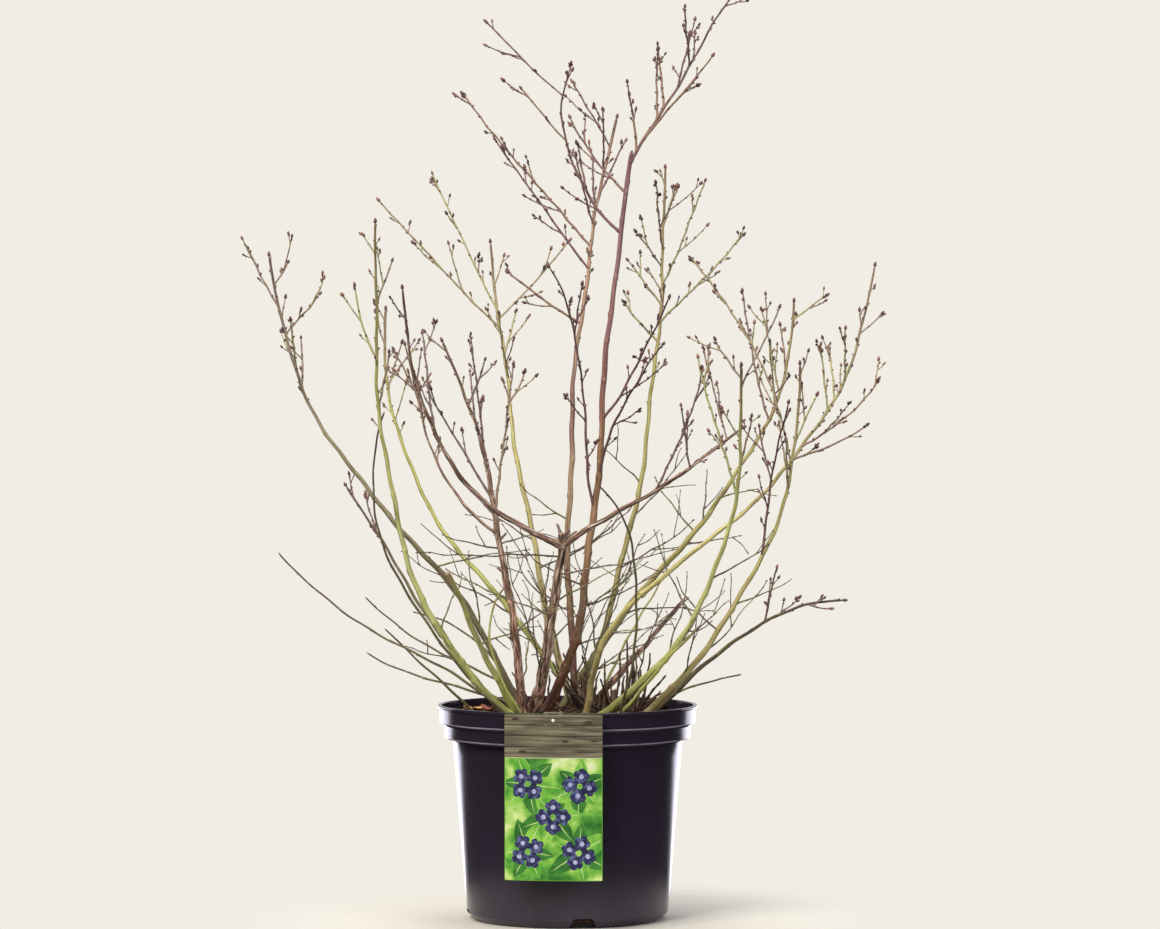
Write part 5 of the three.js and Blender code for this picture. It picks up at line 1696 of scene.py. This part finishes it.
def build_header():
    """Weathered planks across the head of the card, with a dark line between them."""
    tall = (CARD_TOP - PLANKS["under_top"] - HEADER_FOOT) / PLANKS["count"]
    feet = [HEADER_FOOT + k * tall for k in range(PLANKS["count"])]
    planks = [card_box(0.1, foot, foot + tall - PLANKS["gap"], 0.5) for foot in feet]
    gaps = [card_box(0.05, HEADER_FOOT - 0.2, CARD_TOP - 0.1, 1.1)]
    line = [card_box(0.5, HEADER_FOOT - 1.2, HEADER_FOOT - 0.5, 0.2)]
    ovals = [[(u + 1.9 * size * math.cos(a), v + 0.8 * size * math.sin(a))
              for a in np.linspace(0, 2 * math.pi, 15)[:-1]] for u, v, size in KNOTS]
    wood = print_finish("printed_weathered_planks", 2.6, [
        (0.32, "#4A4436"), (0.46, "#655E4C"), (0.6, "#7C745E"), (0.74, "#978E76")], 0.5, (16, 16, 1))
    card_piece("label_planks", planks, 0.0, 0.12, wood)
    build_hook(wood)
    card_piece("label_plank_gaps", gaps, 0.0, 0.05,
               print_finish("printed_plank_gaps", 8, [(0.4, "#2E2820"), (0.6, "#3C3529")]))
    card_piece("label_knots", ovals, 0.1, 0.16,
               print_finish("printed_knots", 3, [(0.4, "#3B3327"), (0.6, "#51483A")]))
    card_piece("label_line", line, 0.0, 0.12,
               print_finish("printed_light_line", 12, [(0.4, "#C9C2A8"), (0.6, "#D8D2BC")]))


def build_picture():
    """A made-up pattern of leaves and five-petalled blossoms, set like the five on a die."""
    middle, draw = (CARD_FOOT + HEADER_FOOT) / 2, seeded(640)
    dark, light, ribs, cups, eyes = [], [], [], [], []
    for n, (u, up) in enumerate(DIE):
        spot = (u, middle + up)
        for k in range(SPRAY_LEAVES["count"]):
            turn = 60 * k + 36 * n + 20 * draw()
            size = lerp(*SPRAY_LEAVES["length"], draw())
            leaf = leaf_outline(spot, size, size * SPRAY_LEAVES["width"], turn)
            (dark if (k + n) % 2 else light).append(inside_card(leaf))
            rib = leaf_outline(spot, size * SPRAY_LEAVES["rib"], SPRAY_LEAVES["rib_width"], turn)
            ribs.append(inside_card(rib))
        for k in range(BLOSSOMS["count"]):
            angle = math.radians(90 * k + 40 * n)
            place = spun(BLOSSOMS["out"], 0, angle, spot)
            cups.append(inside_card(blossom_outline(place, BLOSSOMS["radius"], angle)))
            eyes.append(inside_card(blossom_outline(place, BLOSSOMS["eye"], angle, depth=0.15)))
    field = [card_box(0.6, CARD_FOOT + 0.6, HEADER_FOOT - 1.3, 0.8)]
    # a pale dot near the top of the card, under the hook: a painted glint
    pin = [blossom_outline((0, 207.5), 1.5, 0, depth=0.0)]
    # name, outlines, heights of the layer, ink, patch size in millimetres and colours
    for name, outlines, low, high, ink, size, stops in (
            ("field", field, 0.0, 0.05, "soft_greens", 24, [
                (0.3, "#2F6A28"), (0.42, "#4F9636"), (0.52, "#86BE4C"), (0.62, "#C3DC86"),
                (0.72, "#EFF1D2")]),
            ("leaves_dark", dark, 0.03, 0.1, "deep_leaves", 12, [(0.35, "#28602A"), (0.65, "#478C36")]),
            ("leaves_light", light, 0.03, 0.13, "bright_leaves", 12, [(0.35, "#55A036"), (0.65, "#93CC52")]),
            ("leaf_ribs", ribs, 0.05, 0.15, "pale_ribs", 9, [(0.4, "#A9CC74"), (0.6, "#C2DC90")]),
            ("blossoms", cups, 0.03, 0.17, "violet_petals", 4.5, [
                (0.3, "#1F1F3A"), (0.5, "#34365F"), (0.7, "#69719F")]),
            ("blossom_eyes", eyes, 0.1, 0.21, "pale_eyes", 3, [(0.4, "#8E93C0"), (0.6, "#B9BCD8")]),
            ("pin", pin, 0.1, 0.4, "pale_pin", 4, [(0.4, "#E6E2D6"), (0.6, "#F2EFE6")])):
        card_piece("label_" + name, outlines, low, high, print_finish("printed_" + ink, size, stops))


def build_hook(finish):
    """The strip that goes up from the card, over the pot's lip and down inside."""
    thick, width = LABEL["thickness"], LABEL["hook_width"]
    over = POT_HEIGHT + CLEARANCE
    outer, inner = CARD_FRONT - thick / 2, frame_inner_leg() + thick / 2
    path = rounded([(outer, over - LABEL["hook_drop"]), (outer, over + thick / 2), (inner, over + thick / 2),
                    (inner, SOIL_LEVEL + 1.5)], 0.8, 5)
    points = []
    for k, spot in enumerate(path):
        ahead = path[min(k + 1, len(path) - 1)] - path[max(k - 1, 0)]
        normal = unit(np.array([ahead[1], -ahead[0]])) * thick / 2
        for sign, x in ((1, -width / 2), (1, width / 2), (-1, width / 2), (-1, -width / 2)):
            reach, height = spot + normal * sign
            points.append((*spun(x, -reach, math.radians(LABEL["turn"])), height))
    obj = mesh_object("label_hook", points, bar_faces(0, len(path)), smooth=False)
    mend_normals(obj)
    put(obj, finish, "label_card")


def frame_inner_leg():
    """Where the hook's inner leg hangs, clear of the many-sided wall of the frame's pot."""
    wall = (UPPER_BAND["radius"] - UPPER_BAND["taper"] - WALL) * math.cos(math.pi / 36)
    return wall - LABEL["hook_width"] ** 2 / (8 * wall) - CLEARANCE


# ---------------------------------------------------------------- camera, lights and floor

CAMERA_SPOT, CAMERA_AIM = (0.0125, -4.5, 0.530), (0.0125, 0.0, 0.454)
PICTURE_WIDTH = 1.160  # metres across the bush's own plane
SENSOR = 36.0
BACKGROUND = "#F1EDE4"
GLOW = dict(colour="#F6F4F2", strength=0.3, on_gloss=0.04)
FLOOR_REACH, FLOOR_SIDES = 2600, 96
FLOOR_FADE = (0.12, 0.38)  # metres from the middle over which the floor fades out
# name, place, aim, width and height, power, colour
LIGHTS = (
    ("key", (-1.5, -2.2, 2.6), (0, 0, 0.45), (1.5, 1.5), 132, "#FFF9EE"),
    ("fill", (2.2, -2.4, 1.9), (0, 0, 0.4), (1.6, 1.6), 44, "#F2F4FF"),
    ("top", (0.0, 0.6, 3.0), (0, 0, 0.4), (2.0, 2.0), 50, "#FFFFFF"),
    ("paper_behind", (0, 2.6, 1.2), (0, 0, 0.6), (8.0, 3.4), 60, "#FFFFFF"),
    ("low_white_sweep", (0, 2.5, -0.1), (0, 0, -0.1), (8.0, 0.4), 34, "#ECE6FF"),
)


def aim_at(obj, spot, aim):
    obj.location = spot
    obj.rotation_euler = (Vector(aim) - Vector(spot)).to_track_quat("-Z", "Y").to_euler()


def build_camera():
    """Looks at the bush from the front; the view takes in PICTURE_WIDTH where the bush stands."""
    data = bpy.data.cameras.new("camera")
    camera = link(bpy.data.objects.new("camera", data))
    aim_at(camera, CAMERA_SPOT, CAMERA_AIM)
    data.sensor_width, data.clip_end = SENSOR, 60
    data.lens = SENSOR * (Vector(CAMERA_AIM) - Vector(CAMERA_SPOT)).length / PICTURE_WIDTH
    bpy.context.scene.camera = camera


def build_lights():
    for name, spot, aim, size, power, colour in LIGHTS:
        data = bpy.data.lights.new(name, "AREA")
        data.shape, (data.size, data.size_y) = "RECTANGLE", size
        data.energy, data.color = power, srgb(colour)[:3]
        light = link(bpy.data.objects.new(name, data))
        aim_at(light, spot, aim)
        light.visible_camera = False
        light.visible_diffuse = name != "low_white_sweep"  # it only shines on the gloss


def build_world():
    """A soft glow that the gloss hardly shows, and an even backdrop."""
    bpy.context.scene.view_settings.view_transform = "Standard"
    bpy.context.scene.world = world = bpy.data.worlds.new("studio")
    world.use_nodes = True
    tree = world.node_tree
    tree.nodes.clear()
    path = add(tree, "ShaderNodeLightPath")
    glow, on_gloss, seen = (
        add(tree, "ShaderNodeBackground", {"Color": srgb(colour), "Strength": strength})
        for colour, strength in ((GLOW["colour"], GLOW["strength"]), (GLOW["colour"], GLOW["on_gloss"]),
                                 (BACKGROUND, 1.0)))
    lit = add(tree, "ShaderNodeMixShader", links={0: path.outputs["Is Glossy Ray"], 1: glow, 2: on_gloss})
    mix = add(tree, "ShaderNodeMixShader", links={0: path.outputs["Is Camera Ray"], 1: lit, 2: seen})
    add(tree, "ShaderNodeOutputWorld", links={"Surface": mix})


def build_floor():
    """A pale floor that fades out into the backdrop."""
    turns = np.linspace(0, 2 * math.pi, FLOOR_SIDES, endpoint=False)
    rim = [(*spun(FLOOR_REACH, 0, turn), 0) for turn in turns]
    floor = mesh_object("floor", rim, [tuple(range(FLOOR_SIDES))], smooth=False)
    material, tree, shader = new_finish("pale_floor", Base_Color=srgb("#CFCBC3"), Roughness=0.9,
                                        Specular_IOR_Level=0.1)
    spot = add(tree, "ShaderNodeTexCoord").outputs["Object"]
    far = add(tree, "ShaderNodeVectorMath", links={0: spot}, operation="LENGTH").outputs["Value"]
    fade = add(tree, "ShaderNodeMapRange", {"From Min": FLOOR_FADE[0], "From Max": FLOOR_FADE[1]},
               {"Value": far}, interpolation_type="SMOOTHERSTEP")
    clear = add(tree, "ShaderNodeBsdfTransparent")
    mix = add(tree, "ShaderNodeMixShader", links={0: fade, 1: shader, 2: clear})
    tree.links.new(mix.outputs["Shader"], tree.nodes["Material Output"].inputs["Surface"])
    floor.data.materials.append(material)


# ---------------------------------------------------------------- the whole scene

build_camera()
build_world()
build_lights()
build_floor()
build_pot()
build_litter(build_compost())
for leaf in FALLEN_LEAVES:
    dry_leaf(*leaf)
build_label()
build_loose_bark(build_plant())

bpy.context.view_layer.update()
